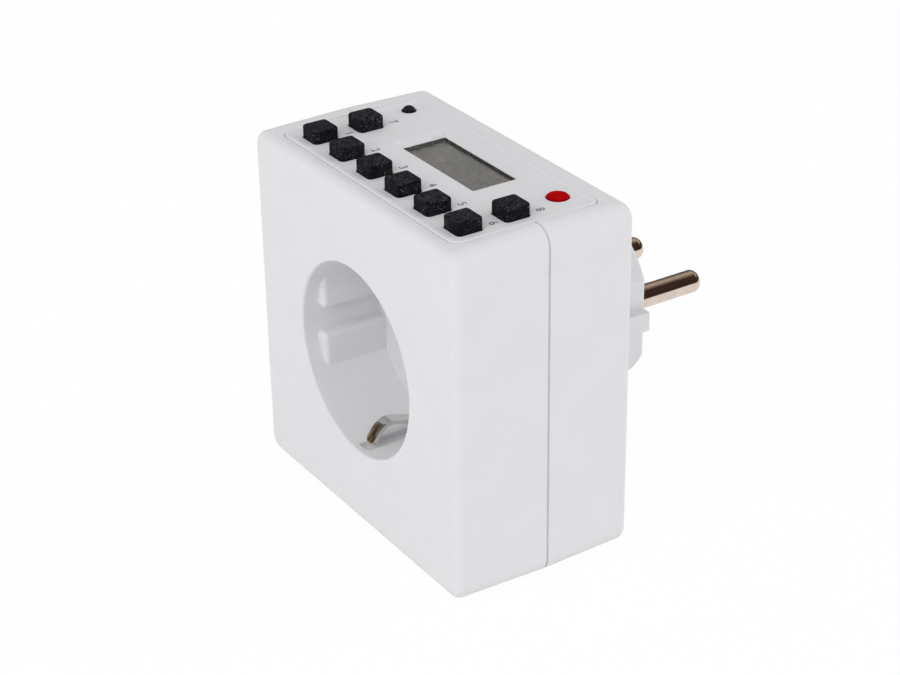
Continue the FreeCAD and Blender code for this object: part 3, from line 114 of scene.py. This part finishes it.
class Recipe:
    # one material and the node chains that its finish needs, by place on the object in metres

    def __init__(self, name):
        self.material = bpy.data.materials.new(name)
        self.material.use_nodes = True
        self.tree = self.material.node_tree
        self.shader = self.tree.nodes["Principled BSDF"]
        place = self.tree.nodes.new("ShaderNodeTexCoord")
        self.place = place.outputs["Object"]
        self.lastBump = None

    def add(self, kind, links=(), **values):
        node = self.tree.nodes.new(kind)
        for key, value in values.items():
            setattr(node, key, value)
        for socket, source in dict(links).items():
            if isinstance(source, bpy.types.NodeSocket):
                self.tree.links.new(source, node.inputs[socket])
            else:
                node.inputs[socket].default_value = source
        return node

    def noise(self, size, detail=3.0, rough=0.5, distort=0.0, stretch=None):
        # noise whose blobs are about size metres across
        where = self.place
        if stretch:
            where = self.add("ShaderNodeMapping",
                             {"Vector": self.place, "Scale": stretch}).outputs[0]
        node = self.add("ShaderNodeTexNoise",
                        {"Vector": where, "Scale": 1 / size, "Detail": detail,
                         "Roughness": rough, "Distortion": distort})
        return node.outputs["Fac"]

    def spots(self, size):
        # distance from points scattered about size metres apart
        node = self.add("ShaderNodeTexVoronoi", {"Vector": self.place, "Scale": 1 / size})
        return node.outputs["Distance"]

    def ramp(self, source, low, high, start=0.0, end=1.0):
        # spreads source from low..high onto start..end, held at both ends
        node = self.add("ShaderNodeMapRange",
                        {"Value": source, "From Min": low, "From Max": high,
                         "To Min": start, "To Max": end})
        return node.outputs["Result"]

    def calc(self, operation, *numbers):
        return self.add("ShaderNodeMath", enumerate(numbers), operation=operation).outputs[0]

    def split(self, source):
        # x, y and z of a place or a direction
        return self.add("ShaderNodeSeparateXYZ", {0: source}).outputs

    def blendColors(self, factor, first, second):
        node = self.add("ShaderNodeMix", {"Factor": factor}, data_type="RGBA")
        for socket, source in ((node.inputs[6], first), (node.inputs[7], second)):
            if isinstance(source, bpy.types.NodeSocket):
                self.tree.links.new(source, socket)
            else:
                socket.default_value = (*source, 1)
        return node.outputs[2]

    def bump(self, height, depth, strength=1.0):
        node = self.add("ShaderNodeBump",
                        {"Height": height, "Distance": depth, "Strength": strength})
        if self.lastBump:
            self.tree.links.new(self.lastBump, node.inputs["Normal"])
        self.lastBump = node.outputs["Normal"]
        self.tree.links.new(self.lastBump, self.shader.inputs["Normal"])

    def set(self, **sockets):
        # sockets of the shader, with spaces written as two underscores
        for key, value in sockets.items():
            socket = self.shader.inputs[key.replace("__", " ")]
            if isinstance(value, bpy.types.NodeSocket):
                self.tree.links.new(value, socket)
            elif isinstance(value, tuple) and len(value) == 3:
                socket.default_value = (*value, 1)
            else:
                socket.default_value = value
        return self


# moulded plastics: fine spark-eroded grain, a faint flow mottle and a slightly uneven sheen
mouldedCommon = {
    "mottleSize": 9 * mm, "waviness": 0.02 * mm, "mottleStrength": 0.5,
    "grainSize": 0.34 * mm, "grainDepth": 0.02 * mm,
    "poreSize": 0.12 * mm, "poreShare": 0.3,          # depth of the pores as a share of the grain's
    "speckle": 0.1, "speckleShade": 0.8,
}


def mouldedPlastic(name, look):
    look = {**mouldedCommon, **look}
    recipe = Recipe(name)
    mottle = recipe.noise(look["mottleSize"], detail=3)
    grain = recipe.noise(look["grainSize"], detail=2, rough=0.6)
    pores = recipe.noise(look["poreSize"], detail=1)
    tint = recipe.blendColors(recipe.ramp(mottle, *noiseSpan), look["light"], look["dark"])
    speck = tuple(look["speckleShade"] * part for part in look["dark"])
    color = recipe.blendColors(recipe.ramp(grain, *noiseCore, 0.0, look["speckle"]), tint, speck)
    recipe.bump(mottle, look["waviness"], look["mottleStrength"])
    recipe.bump(grain, look["grainDepth"])
    recipe.bump(pores, look["grainDepth"] * look["poreShare"])
    return recipe.set(Base__Color=color, IOR=1.5,
                      Roughness=recipe.ramp(grain, *noiseSpan, *look["roughness"]))


# rubber: dull, with a rough skin and pale dust caught in it; upward faces are painted lighter,
# partly scuff and partly painted light from above
rubberCommon = {
    "skinSpan": (0.43, 0.62),
    "topSpan": (0.35, 0.8),           # how far up a face looks before it gets the lighter top colour, partly scuff and partly painted light from above
    "pitShare": 0.7,                  # depth of the pits as a share of the skin's
    "cloudSize": 2.2 * mm, "cloudSpan": (0.42, 0.62),
    "dustSideSpan": (0.8, 0.3),       # dust shows fully once a face has turned this far aside
    "dustCore": 0.45,                 # solid share of a speck, the rest fades
    "roughness": (0.55, 0.78),
}


def dustyRubber(name, look):
    look = {**rubberCommon, **look}
    recipe = Recipe(name)
    skin = recipe.noise(look["skinSize"], detail=4, rough=0.65)
    pits = recipe.spots(look["pitSize"])
    cloud = recipe.noise(look["cloudSize"], detail=2)
    upward = recipe.split(recipe.add("ShaderNodeNewGeometry").outputs["Normal"])[2]
    # painted light: faces turned upward get a lighter colour, standing for scuff and also for light
    # falling from above
    grey = recipe.blendColors(recipe.ramp(upward, *look["topSpan"]), look["light"], look["scuffedAndLitTop"])
    color = recipe.blendColors(recipe.ramp(skin, *look["skinSpan"]), look["dark"], grey)
    onSides = recipe.ramp(upward, *look["dustSideSpan"], look["dustOnTop"], 1.0)
    patch = recipe.calc("MULTIPLY", recipe.ramp(cloud, *look["cloudSpan"]), onSides)
    for spacing, share in look["dustSpots"]:
        reach = look["dustSize"]
        dot = recipe.ramp(recipe.spots(spacing), reach, reach * look["dustCore"], 0.0, share)
        color = recipe.blendColors(recipe.calc("MULTIPLY", dot, patch), color, look["dust"])
    recipe.bump(skin, look["skinDepth"])
    recipe.bump(pits, look["skinDepth"] * look["pitShare"])
    return recipe.set(Base__Color=color, Specular__IOR__Level=look["shine"],
                      Roughness=recipe.ramp(skin, *noiseSpan, *look["roughness"]))


# metals: tool or draw marks stretched along one direction, with a little tarnish
metalCommon = {
    "cloudSize": 3.5 * mm, "cloudSpan": (0.35, 0.7),
}


def workedMetal(name, look):
    look = {**metalCommon, **look}
    recipe = Recipe(name)
    marks = recipe.noise(look["markSize"], detail=2, rough=0.6, stretch=look["stretch"])
    cloud = recipe.noise(look["cloudSize"], detail=3, rough=0.55)
    stain = recipe.ramp(cloud, *look["cloudSpan"])
    color = recipe.blendColors(stain, look["bright"], look["tarnish"])
    if "wornTip" in look:
        depth = recipe.split(recipe.place)[1]
        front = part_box(look["node"])[0][1]
        worn = recipe.ramp(depth, *[front + reach for reach in look["wornReach"]])
        color = recipe.blendColors(worn, color, look["wornTip"])
        recipe.bump(recipe.noise(look["dentSize"], detail=1), look["dentDepth"])
    recipe.bump(marks, look["markDepth"])
    sheen = recipe.calc("MULTIPLY", recipe.calc("ADD", marks, cloud), 0.5)
    return recipe.set(Base__Color=color, Metallic=1.0,
                      Roughness=recipe.ramp(sheen, *noiseCore, *look["roughness"]))


# clear or tinted plastic, polished on both sides
clearCommon = {
    "hazeSize": 2.5 * mm, "hazeSpan": (0.35, 0.7), "dullSpan": (0.3, 0.75),
    "scratchSize": 0.5 * mm, "scratchStretch": (1, 14, 1), "scratchDepth": 0.0006 * mm,
    "ior": 1.49, "shine": 0.5,
}


def clearPlastic(name, look):
    look = {**clearCommon, **look}
    recipe = Recipe(name)
    haze = recipe.noise(look["hazeSize"], detail=3)
    scratches = recipe.noise(look["scratchSize"], detail=2, rough=0.6,
                             stretch=look["scratchStretch"])
    color = recipe.blendColors(recipe.ramp(haze, *look["hazeSpan"]), look["light"], look["dark"])
    # painted shade: the lens darkens towards its rim, standing for the shadow in the gap round it
    if "rim" in look:
        low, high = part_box(look["node"])
        place = recipe.split(recipe.place)
        squares = []
        for axis in (0, 1):
            way = recipe.calc("SUBTRACT", place[axis], (low[axis] + high[axis]) / 2)
            squares.append(recipe.calc("MULTIPLY", way, way))
        away = recipe.calc("SQRT", recipe.calc("ADD", *squares))
        color = recipe.blendColors(recipe.ramp(away, *look["rimWidth"]), color, look["rim"])
    recipe.bump(scratches, look["scratchDepth"])
    return recipe.set(Base__Color=color, IOR=look["ior"], Specular__IOR__Level=look["shine"],
                      Transmission__Weight=look["clearness"],
                      Roughness=recipe.ramp(haze, *look["dullSpan"], *look["roughness"]))


# printed circuit board: solder mask over copper tracks, with the glass weave faintly showing
def circuitBoard(name, look):
    recipe = Recipe(name)
    bricks = recipe.add("ShaderNodeTexBrick",
                        {"Vector": recipe.place, "Scale": 1.0,
                         "Brick Width": look["trackLength"], "Row Height": look["trackPitch"],
                         "Mortar Size": look["trackWidth"], "Mortar Smooth": look["trackSoftness"]})
    tracks = bricks.outputs["Fac"]
    weave = recipe.add("ShaderNodeTexChecker", {"Vector": recipe.place, "Scale": 1 / look["weave"]})
    cloud = recipe.ramp(recipe.noise(look["cloudSize"]), *noiseSpan, 0.0, look["cloudShare"])
    color = recipe.blendColors(tracks, look["mask"], look["track"])
    color = recipe.blendColors(cloud, color, look["shade"])
    recipe.bump(tracks, look["trackDepth"])
    recipe.bump(weave.outputs["Fac"], look["weaveDepth"])
    gloss = recipe.ramp(recipe.noise(look["glossSize"]), *noiseSpan, *look["roughness"])
    return recipe.set(Base__Color=color, Roughness=gloss)


# enamelled wire wound in close turns round the x axis
def woundWire(name, look):
    recipe = Recipe(name)
    turns = recipe.add("ShaderNodeTexWave",
                       {"Vector": recipe.place, "Scale": look["bandScale"] / look["wire"],
                        "Distortion": look["unevenness"], "Detail": 1.0},
                       wave_type="BANDS", bands_direction="X").outputs["Fac"]
    color = recipe.blendColors(recipe.ramp(turns, *look["turnSpan"]), look["gap"], look["copper"])
    recipe.bump(turns, look["wire"] * look["turnShare"])
    gloss = recipe.ramp(recipe.noise(look["glossSize"]), *noiseSpan, *look["roughness"])
    return recipe.set(Base__Color=color, Metallic=look["metal"], Roughness=gloss)


# materials by the record's slots
whiteCase = {"light": (0.797, 0.793, 0.804), "dark": (0.775, 0.772, 0.784),
             "roughness": (0.44, 0.56), "grainDepth": 0.018 * mm}
whitePanel = {"light": (0.785, 0.780, 0.795), "dark": (0.765, 0.760, 0.775),
              "roughness": (0.40, 0.52), "grainDepth": 0.014 * mm, "grainSize": 0.28 * mm}
blackMoulding = {"light": (0.045, 0.045, 0.046), "dark": (0.03, 0.03, 0.032),
                 "roughness": (0.4, 0.55)}
greyFrame = {"light": (0.115, 0.115, 0.118), "dark": (0.095, 0.095, 0.098),
             "roughness": (0.5, 0.62)}
whiteMoulding = {"light": (0.78, 0.78, 0.75), "dark": (0.74, 0.74, 0.70), "roughness": (0.42, 0.55)}
greyMoulding = {"light": (0.42, 0.43, 0.44), "dark": (0.38, 0.39, 0.40), "roughness": (0.45, 0.6)}
blueMoulding = {"light": (0.035, 0.10, 0.36), "dark": (0.03, 0.08, 0.30), "roughness": (0.25, 0.35)}
yellowBox = {"light": (0.74, 0.53, 0.09), "dark": (0.68, 0.48, 0.08), "roughness": (0.35, 0.5)}
blueDip = {"light": (0.07, 0.17, 0.46), "dark": (0.05, 0.13, 0.38), "roughness": (0.3, 0.45),
           "waviness": 0.2 * mm}
darkSleeve = {"light": (0.04, 0.04, 0.09), "dark": (0.03, 0.03, 0.07), "roughness": (0.2, 0.32)}
tanLacquer = {"light": (0.60, 0.44, 0.27), "dark": (0.54, 0.38, 0.22), "roughness": (0.35, 0.5),
              "waviness": 0.1 * mm}
greyRibbon = {"light": (0.42, 0.42, 0.43), "dark": (0.36, 0.36, 0.37), "roughness": (0.5, 0.62)}
brownWire = {"light": (0.24, 0.11, 0.05), "dark": (0.19, 0.08, 0.035), "roughness": (0.35, 0.48)}

keyRubber = {
    "dark": (0.002, 0.002, 0.004), "light": (0.013, 0.013, 0.017), "shine": 0.08,
    "scuffedAndLitTop": (0.048, 0.049, 0.058),
    "skinSize": 0.42 * mm, "skinDepth": 0.07 * mm, "pitSize": 0.34 * mm,
    "dust": (0.23, 0.23, 0.23), "dustSize": 0.27, "dustOnTop": 0.24,
    "dustSpots": ((0.20 * mm, 0.6), (0.42 * mm, 1.1)),      # spacing and strength of the specks
}
matRubber = {
    "dark": (0.07, 0.07, 0.07), "light": (0.10, 0.10, 0.10), "shine": 0.4,
    "scuffedAndLitTop": (0.12, 0.12, 0.12),
    "skinSize": 0.5 * mm, "skinDepth": 0.03 * mm, "pitSize": 0.6 * mm,
    "dust": (0.2, 0.2, 0.2), "dustSize": 0.2, "dustOnTop": 1.0,
    "dustSpots": ((1.2 * mm, 0.6),),
}

turnedNickel = {
    "bright": (0.72, 0.62, 0.55), "tarnish": (0.64, 0.53, 0.46), "roughness": (0.10, 0.17),
    "markSize": 0.5 * mm, "stretch": (0.6, 9.0, 0.6), "markDepth": 0.002 * mm,
}
earthStrip = {
    "bright": (0.68, 0.67, 0.675), "tarnish": (0.61, 0.58, 0.55), "roughness": (0.12, 0.22),
    "markSize": 0.4 * mm, "stretch": (0.6, 4.0, 4.0), "markDepth": 0.003 * mm,
    "node": "earth_bracket",
    "wornTip": (0.75, 0.68, 0.50),        # the plating is worn off where plugs rub
    "wornReach": (2.4 * mm, 0.6 * mm),    # behind the clips' front: wear starts, and is full
    "dentSize": 2.2 * mm, "dentDepth": 0.10 * mm,
}
zincSteel = {
    "bright": (0.66, 0.66, 0.63), "tarnish": (0.52, 0.52, 0.48), "roughness": (0.28, 0.42),
    "markSize": 0.4 * mm, "stretch": (1.0, 1.0, 1.0), "markDepth": 0.01 * mm,
}
stampedBrass = {
    "bright": (0.72, 0.52, 0.22), "tarnish": (0.52, 0.36, 0.15), "roughness": (0.24, 0.38),
    "markSize": 0.4 * mm, "stretch": (5.0, 0.6, 0.6), "markDepth": 0.006 * mm,
}
platedIron = {
    "bright": (0.56, 0.55, 0.53), "tarnish": (0.44, 0.43, 0.40), "roughness": (0.32, 0.48),
    "markSize": 0.5 * mm, "stretch": (1.0, 5.0, 1.0), "markDepth": 0.01 * mm,
}
brightCan = {
    "bright": (0.72, 0.72, 0.70), "tarnish": (0.60, 0.60, 0.58), "roughness": (0.18, 0.3),
    "markSize": 0.3 * mm, "stretch": (1.0, 1.0, 5.0), "markDepth": 0.004 * mm,
}

clearPane = {"light": (0.96, 0.97, 0.96), "dark": (0.93, 0.94, 0.93), "roughness": (0.02, 0.06),
             "clearness": 1.0, "ior": 1.22}
ledBody = {"light": (0.75, 0.10, 0.08), "dark": (0.66, 0.07, 0.06), "roughness": (0.08, 0.14),
           "clearness": 0.7}
redLens = {"light": (0.45, 0.000, 0.002), "dark": (0.37, 0.000, 0.001), "roughness": (0.16, 0.28),
           "clearness": 0.0, "shine": 0.01, "node": "indicator_lens", "rim": (0.30, 0.0, 0.002),
           "rimWidth": (1.98 * mm, 2.1 * mm)}         # from where to where the painted shade of the lens's hole darkens the rim

greenBoard = {
    "mask": (0.035, 0.19, 0.07), "track": (0.07, 0.29, 0.12), "shade": (0.03, 0.14, 0.05),
    "trackLength": 4.3 * mm, "trackPitch": 2.1 * mm,
    "trackWidth": 0.35 * mm, "trackDepth": 0.03 * mm, "trackSoftness": 0.1,
    "weave": 0.6 * mm, "weaveDepth": 0.004 * mm,
    "cloudSize": 5 * mm, "cloudShare": 0.25,
    "glossSize": 1.2 * mm, "roughness": (0.3, 0.45),
}
copperCoil = {
    "wire": 0.16 * mm, "gap": (0.16, 0.05, 0.02), "copper": (0.62, 0.26, 0.11), "metal": 0.6,
    "unevenness": 0.4, "bandScale": 0.5, "turnSpan": (0.1, 0.9),
    "turnShare": 0.4,                     # height of a turn as a share of the wire
    "glossSize": 1 * mm, "roughness": (0.28, 0.42),
}


# display behind its window: grey-brown field, darker round the edge as its border and as painted
# shade from the opening's wall, faint warm and green smudges
displayLook = {
    "field": (0.067, 0.063, 0.057),
    "edge": (0.045, 0.044, 0.044),
    "warm": (0.092, 0.066, 0.054), "warmSize": 6 * mm, "warmSpan": (0.45, 0.7),
    "green": (0.062, 0.073, 0.056), "greenSize": 4 * mm, "greenSpan": (0.52, 0.75),
    "edgeWidth": 0.9 * mm,
    "underFrame": 0.9 * mm,           # how far the window reaches under the edge of its opening
    "waveSize": 1.5 * mm, "waveDepth": 0.002 * mm,
    "glossSize": 3 * mm, "roughness": (0.22, 0.34),
    "shine": 0.4,
}


def displayGlass(name, look):
    recipe = Recipe(name)
    low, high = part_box("display_window")
    place = recipe.split(recipe.place)
    sides = []
    for axis in (0, 1):
        middle = (low[axis] + high[axis]) / 2
        half = (high[axis] - low[axis]) / 2 - look["underFrame"]
        away = recipe.calc("ABSOLUTE", recipe.calc("SUBTRACT", place[axis], middle))
        sides.append(recipe.ramp(away, half - look["edgeWidth"], half))
    warm = recipe.ramp(recipe.noise(look["warmSize"], detail=2), *look["warmSpan"])
    smudge = recipe.noise(look["greenSize"], detail=3, rough=0.6, distort=0.6)
    green = recipe.ramp(smudge, *look["greenSpan"])
    color = recipe.blendColors(warm, look["field"], look["warm"])
    color = recipe.blendColors(green, color, look["green"])
    # painted shade: the darker border band also stands for the shadow of the window opening's wall
    color = recipe.blendColors(recipe.calc("MAXIMUM", *sides), color, look["edge"])
    recipe.bump(recipe.noise(look["waveSize"]), look["waveDepth"])
    gloss = recipe.ramp(recipe.noise(look["glossSize"]), *noiseSpan, *look["roughness"])
    return recipe.set(Base__Color=color, Roughness=gloss, Specular__IOR__Level=look["shine"])


slotMaterials = {
    "case_white": mouldedPlastic("caseWhite", whiteCase),
    "panel_white": mouldedPlastic("panelWhite", whitePanel),
    "screw_steel": workedMetal("screwZinc", zincSteel),
    "window_clear": clearPlastic("windowClear", clearPane),
    "display_glass": displayGlass("displayGrey", displayLook),
    "frame_black": mouldedPlastic("frameGrey", greyFrame),
    "mat_rubber": dustyRubber("matRubber", matRubber),
    "key_rubber": dustyRubber("keyRubber", keyRubber),
    "lens_red": clearPlastic("lensRed", redLens),
    "led_clear": clearPlastic("ledRed", ledBody),
    "board_green": circuitBoard("boardGreen", greenBoard),
    "chip_black": mouldedPlastic("chipBlack", blackMoulding),
    "bright_can": workedMetal("brightCan", brightCan),
    "cable_grey": mouldedPlastic("cableGrey", greyRibbon),
    "relay_blue": mouldedPlastic("relayBlue", blueMoulding),
    "copper_wire": woundWire("copperWinding", copperCoil),
    "relay_iron": workedMetal("relayIron", platedIron),
    "brass_strip": workedMetal("brassStrip", stampedBrass),
    "capacitor_yellow": mouldedPlastic("capacitorYellow", yellowBox),
    "varistor_blue": mouldedPlastic("varistorBlue", blueDip),
    "capacitor_sleeve": mouldedPlastic("capacitorSleeve", darkSleeve),
    "resistor_tan": mouldedPlastic("resistorTan", tanLacquer),
    "shutter_white": mouldedPlastic("shutterWhite", whiteMoulding),
    "spring_steel": workedMetal("springSteel", platedIron),
    "carrier_grey": mouldedPlastic("carrierGrey", greyMoulding),
    "pin_nickel": workedMetal("pinNickel", turnedNickel),
    "earth_brass": workedMetal("earthStrip", earthStrip),
    "wire_cover": mouldedPlastic("wireBrown", brownWire),
}

slots = {part["node"]: part["material_slot"] for part in frame["record"]["subparts"]}
sharpAngle = math.radians(28)         # shading stays sharp over steeper edges than this
for name, slot in slots.items():
    mesh = nodes[name].data
    mesh.materials.clear()
    mesh.materials.append(slotMaterials[slot].material)
    mesh.shade_smooth()
    mesh.set_sharp_from_angle(angle=sharpAngle)
print("materials set on", len(slots), "nodes")


# stamped and tumbled metal has edges that catch the light
edgeLook = {
    "width": {"earth_bracket": 0.34 * mm, "plug_earth_contacts": 0.15 * mm},
    "steps": 3,
    "fromAngle": math.radians(40),
    "joinWithin": 0.001 * mm,
}


def roundEdges(look):
    for name, width in look["width"].items():
        weld = nodes[name].modifiers.new("joinFaces", "WELD")
        weld.merge_threshold = look["joinWithin"]
        edges = nodes[name].modifiers.new("roundEdges", "BEVEL")
        edges.width = width
        edges.segments = look["steps"]
        edges.limit_method = "ANGLE"
        edges.angle_limit = look["fromAngle"]
        edges.harden_normals = True


roundEdges(edgeLook)
print("edges rounded")


# the rubber webs and the shutter's spring: each gets its own copy, hung on its joint's parent, and
# the original is hidden
def foldWithJoint(joint):
    for soft in joint.get("deforming_nodes", []):
        name = soft["node"]
        piece = bpy.data.objects.new(name + "_folding", nodes[name].data.copy())
        scene.collection.objects.link(piece)
        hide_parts(name)
        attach(piece, joint["parent"])
        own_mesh(piece)


for joint in frame["record"]["behaviour"]["joints"]:
    foldWithJoint(joint)


# plain figures printed beside the keys
figureLook = {
    "height": 1.7 * mm,
    "thickness": 0.012 * mm,
    "boldness": 0.045 * mm,
    "ink": (0.16, 0.16, 0.17),
    "worn": (0.30, 0.30, 0.31),
    "beside": (-1.4 * mm, 2.1 * mm),    # foot of the figure from the key's right rear corner
    "fieldDepth": 0.2 * mm,             # the panel's field lies this far under its rim
    "wearSize": 0.25 * mm, "wearSpan": (0.4, 0.7), "inkSize": 0.15 * mm, "inkDepth": 0.004 * mm,
    "roughness": (0.5, 0.65),
}
letterShare = 0.69      # the built-in letters stand this share of their size


def printInk(look):
    recipe = Recipe("figureInk")
    wear = recipe.ramp(recipe.noise(look["wearSize"], detail=3, rough=0.6), *look["wearSpan"])
    recipe.bump(recipe.noise(look["inkSize"], detail=2), look["inkDepth"])
    return recipe.set(Base__Color=recipe.blendColors(wear, look["ink"], look["worn"]),
                      Roughness=recipe.ramp(wear, 0.0, 1.0, *look["roughness"]))


def printFigures(look):
    ink = printInk(look)
    keyNames = [name for name in nodes if name.endswith("_key")]
    # front row first, each row from left to right
    keyNames.sort(key=lambda name: (round(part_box(name)[0][1], 3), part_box(name)[0][0]))
    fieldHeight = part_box("control_panel")[1][2] - look["fieldDepth"]
    for number, name in enumerate(keyNames, 1):
        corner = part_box(name)[1]
        data = bpy.data.curves.new("figure" + str(number), "FONT")
        data.body = str(number)
        data.size = look["height"] / letterShare
        data.extrude = look["thickness"]
        data.offset = look["boldness"]
        data.align_x = "CENTER"
        data.materials.append(ink.material)
        figure = bpy.data.objects.new("figure" + str(number), data)
        alongX, alongY = look["beside"]
        figure.location = (corner[0] + alongX, corner[1] + alongY, fieldHeight)
        scene.collection.objects.link(figure)
        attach(figure, "timer_case")


printFigures(figureLook)
print("figures printed")


# floor, light, background and the dark cards that only reflections see
studio = {
    "floorSize": 3.0,
    "floorColor": (0.96, 0.96, 0.96),
    "floorShade": 0.985,      # darkest paper fibre as a share of the floor's colour
    "fibreSize": 2 * mm,
    "floorGlow": 0.97,        # share of plain white that the camera sees in the floor
    "skyLow": (0.825, 0.825, 0.837),
    "skyHigh": (0.60, 0.602, 0.62),
    "lamps": {
        "keyLamp": {"place": (0.42, -1.05, 0.95), "size": 1.0, "power": 5.8},
        "fillLamp": {"place": (1.20, 0.65, 0.55), "size": 1.0, "power": 0.7},
        "rearLamp": {"place": (0.50, 1.50, 0.50), "size": 1.0, "power": 5.3},
    },
    "cardDark": (0.042, 0.019, 0.011),
    "cardLight": (0.62, 0.54, 0.45),
    "cardRise": (0.25, 0.65),            # where the light band on the cards starts, in metres
    "cardFall": (1.30, 0.95),            # and where it ends
    "cardTop": 0.80,                     # under this height the band moves on by cardSlope
    "cardSlope": 4.0,
    "lampAim": (0, 0, 0.035),
    "paperRoughness": 0.9,
}
overheadCard = [(-3.6, -3.4, 0.80), (0.9, -3.4, 0.80), (0.9, 1.6, 0.80), (-3.6, 1.6, 0.80)]
standingCards = {                        # name: left foot, right foot
    "cardSide": ((1.15, -0.25), (0.55, 1.25)),
    "cardBehind": ((0.55, 1.25), (-0.5, 1.45)),
    "cardCorner": ((-0.5, 1.45), (-1.9, 0.3)),
}
standingHeights = (-0.02, 0.85)


def whiteForView(tree):
    # 1 for camera, glossy and transmission rays
    path = tree.nodes.new("ShaderNodeLightPath")
    total = path.outputs["Is Camera Ray"]
    for name in ("Is Glossy Ray", "Is Transmission Ray"):
        node = tree.nodes.new("ShaderNodeMath")
        node.operation = "MAXIMUM"
        tree.links.new(total, node.inputs[0])
        tree.links.new(path.outputs[name], node.inputs[1])
        total = node.outputs[0]
    return total


def makeFloor(look):
    mesh = bpy.data.meshes.new("floor")
    half = look["floorSize"] / 2
    corners = [(-half, -half, 0), (half, -half, 0), (half, half, 0), (-half, half, 0)]
    mesh.from_pydata(corners, [], [(0, 1, 2, 3)])
    floor = bpy.data.objects.new("floor", mesh)
    scene.collection.objects.link(floor)
    recipe = Recipe("floorPaper")
    fibre = recipe.noise(look["fibreSize"], detail=3)
    shade = tuple(look["floorShade"] * part for part in look["floorColor"])
    recipe.set(Base__Color=recipe.blendColors(fibre, look["floorColor"], shade),
               Roughness=look["paperRoughness"])
    glow = recipe.add("ShaderNodeEmission", {"Color": (1, 1, 1, 1), "Strength": 1.0})
    share = recipe.calc("MULTIPLY", whiteForView(recipe.tree), look["floorGlow"])
    mix = recipe.add("ShaderNodeMixShader",
                     {0: share, 1: recipe.shader.outputs[0], 2: glow.outputs[0]})
    recipe.tree.links.new(mix.outputs[0], recipe.tree.nodes["Material Output"].inputs["Surface"])
    mesh.materials.append(recipe.material)


def makeCards(look):
    # painted reflections: dark brown sheets with a painted light band that only reflections see and
    # that cast no shade, to darken and warm the metals
    recipe = Recipe("reflectionOnlyCard")
    x, y, z = recipe.split(recipe.place)
    diagonal = recipe.calc("MULTIPLY", recipe.calc("SUBTRACT", y, x), math.sqrt(0.5))
    below = recipe.calc("MULTIPLY", recipe.calc("SUBTRACT", look["cardTop"], z), look["cardSlope"])
    along = recipe.calc("SUBTRACT", diagonal, below)
    rise, fall = [recipe.ramp(along, *look[edge]) for edge in ("cardRise", "cardFall")]
    band = recipe.calc("MULTIPLY", rise, fall)
    recipe.set(Base__Color=recipe.blendColors(band, look["cardDark"], look["cardLight"]),
               Roughness=look["paperRoughness"], Specular__IOR__Level=0.0)
    cards = {"cardOverhead": overheadCard}
    low, high = standingHeights
    for name, (left, right) in standingCards.items():
        cards[name] = [(*left, low), (*right, low), (*right, high), (*left, high)]
    for name, corners in cards.items():
        mesh = bpy.data.meshes.new(name)
        mesh.from_pydata(corners, [], [(0, 1, 2, 3)])
        mesh.materials.append(recipe.material)
        card = bpy.data.objects.new(name, mesh)
        scene.collection.objects.link(card)
        card.visible_camera = card.visible_diffuse = card.visible_shadow = False
        card.visible_transmission = card.visible_volume_scatter = False


def makeSky(look):
    world = bpy.data.worlds.new("studio")
    scene.world = world
    world.use_nodes = True
    tree = world.node_tree
    light = tree.nodes["Background"]
    place = tree.nodes.new("ShaderNodeTexCoord")
    split = tree.nodes.new("ShaderNodeSeparateXYZ")
    fade = tree.nodes.new("ShaderNodeMix")
    fade.data_type = "RGBA"
    fade.inputs[6].default_value = (*look["skyLow"], 1)
    fade.inputs[7].default_value = (*look["skyHigh"], 1)
    tree.links.new(place.outputs["Generated"], split.inputs[0])
    tree.links.new(split.outputs[2], fade.inputs["Factor"])
    tree.links.new(fade.outputs[2], light.inputs["Color"])
    white = tree.nodes.new("ShaderNodeBackground")
    white.inputs["Color"].default_value = (1, 1, 1, 1)
    white.inputs["Strength"].default_value = 1.0
    mix = tree.nodes.new("ShaderNodeMixShader")
    tree.links.new(whiteForView(tree), mix.inputs[0])
    tree.links.new(light.outputs[0], mix.inputs[1])
    tree.links.new(white.outputs[0], mix.inputs[2])
    tree.links.new(mix.outputs[0], tree.nodes["World Output"].inputs["Surface"])


def makeLamp(name, look, aim):
    data = bpy.data.lights.new(name, "AREA")
    data.shape = "DISK"
    data.size = look["size"]
    data.energy = look["power"]
    lamp = bpy.data.objects.new(name, data)
    place = Vector(look["place"])
    lamp.location = place
    lamp.rotation_euler = (place - Vector(aim)).to_track_quat("Z", "Y").to_euler()
    scene.collection.objects.link(lamp)


makeFloor(studio)
makeCards(studio)
makeSky(studio)
for lampName, lampLook in studio["lamps"].items():
    makeLamp(lampName, lampLook, studio["lampAim"])
print("studio set")
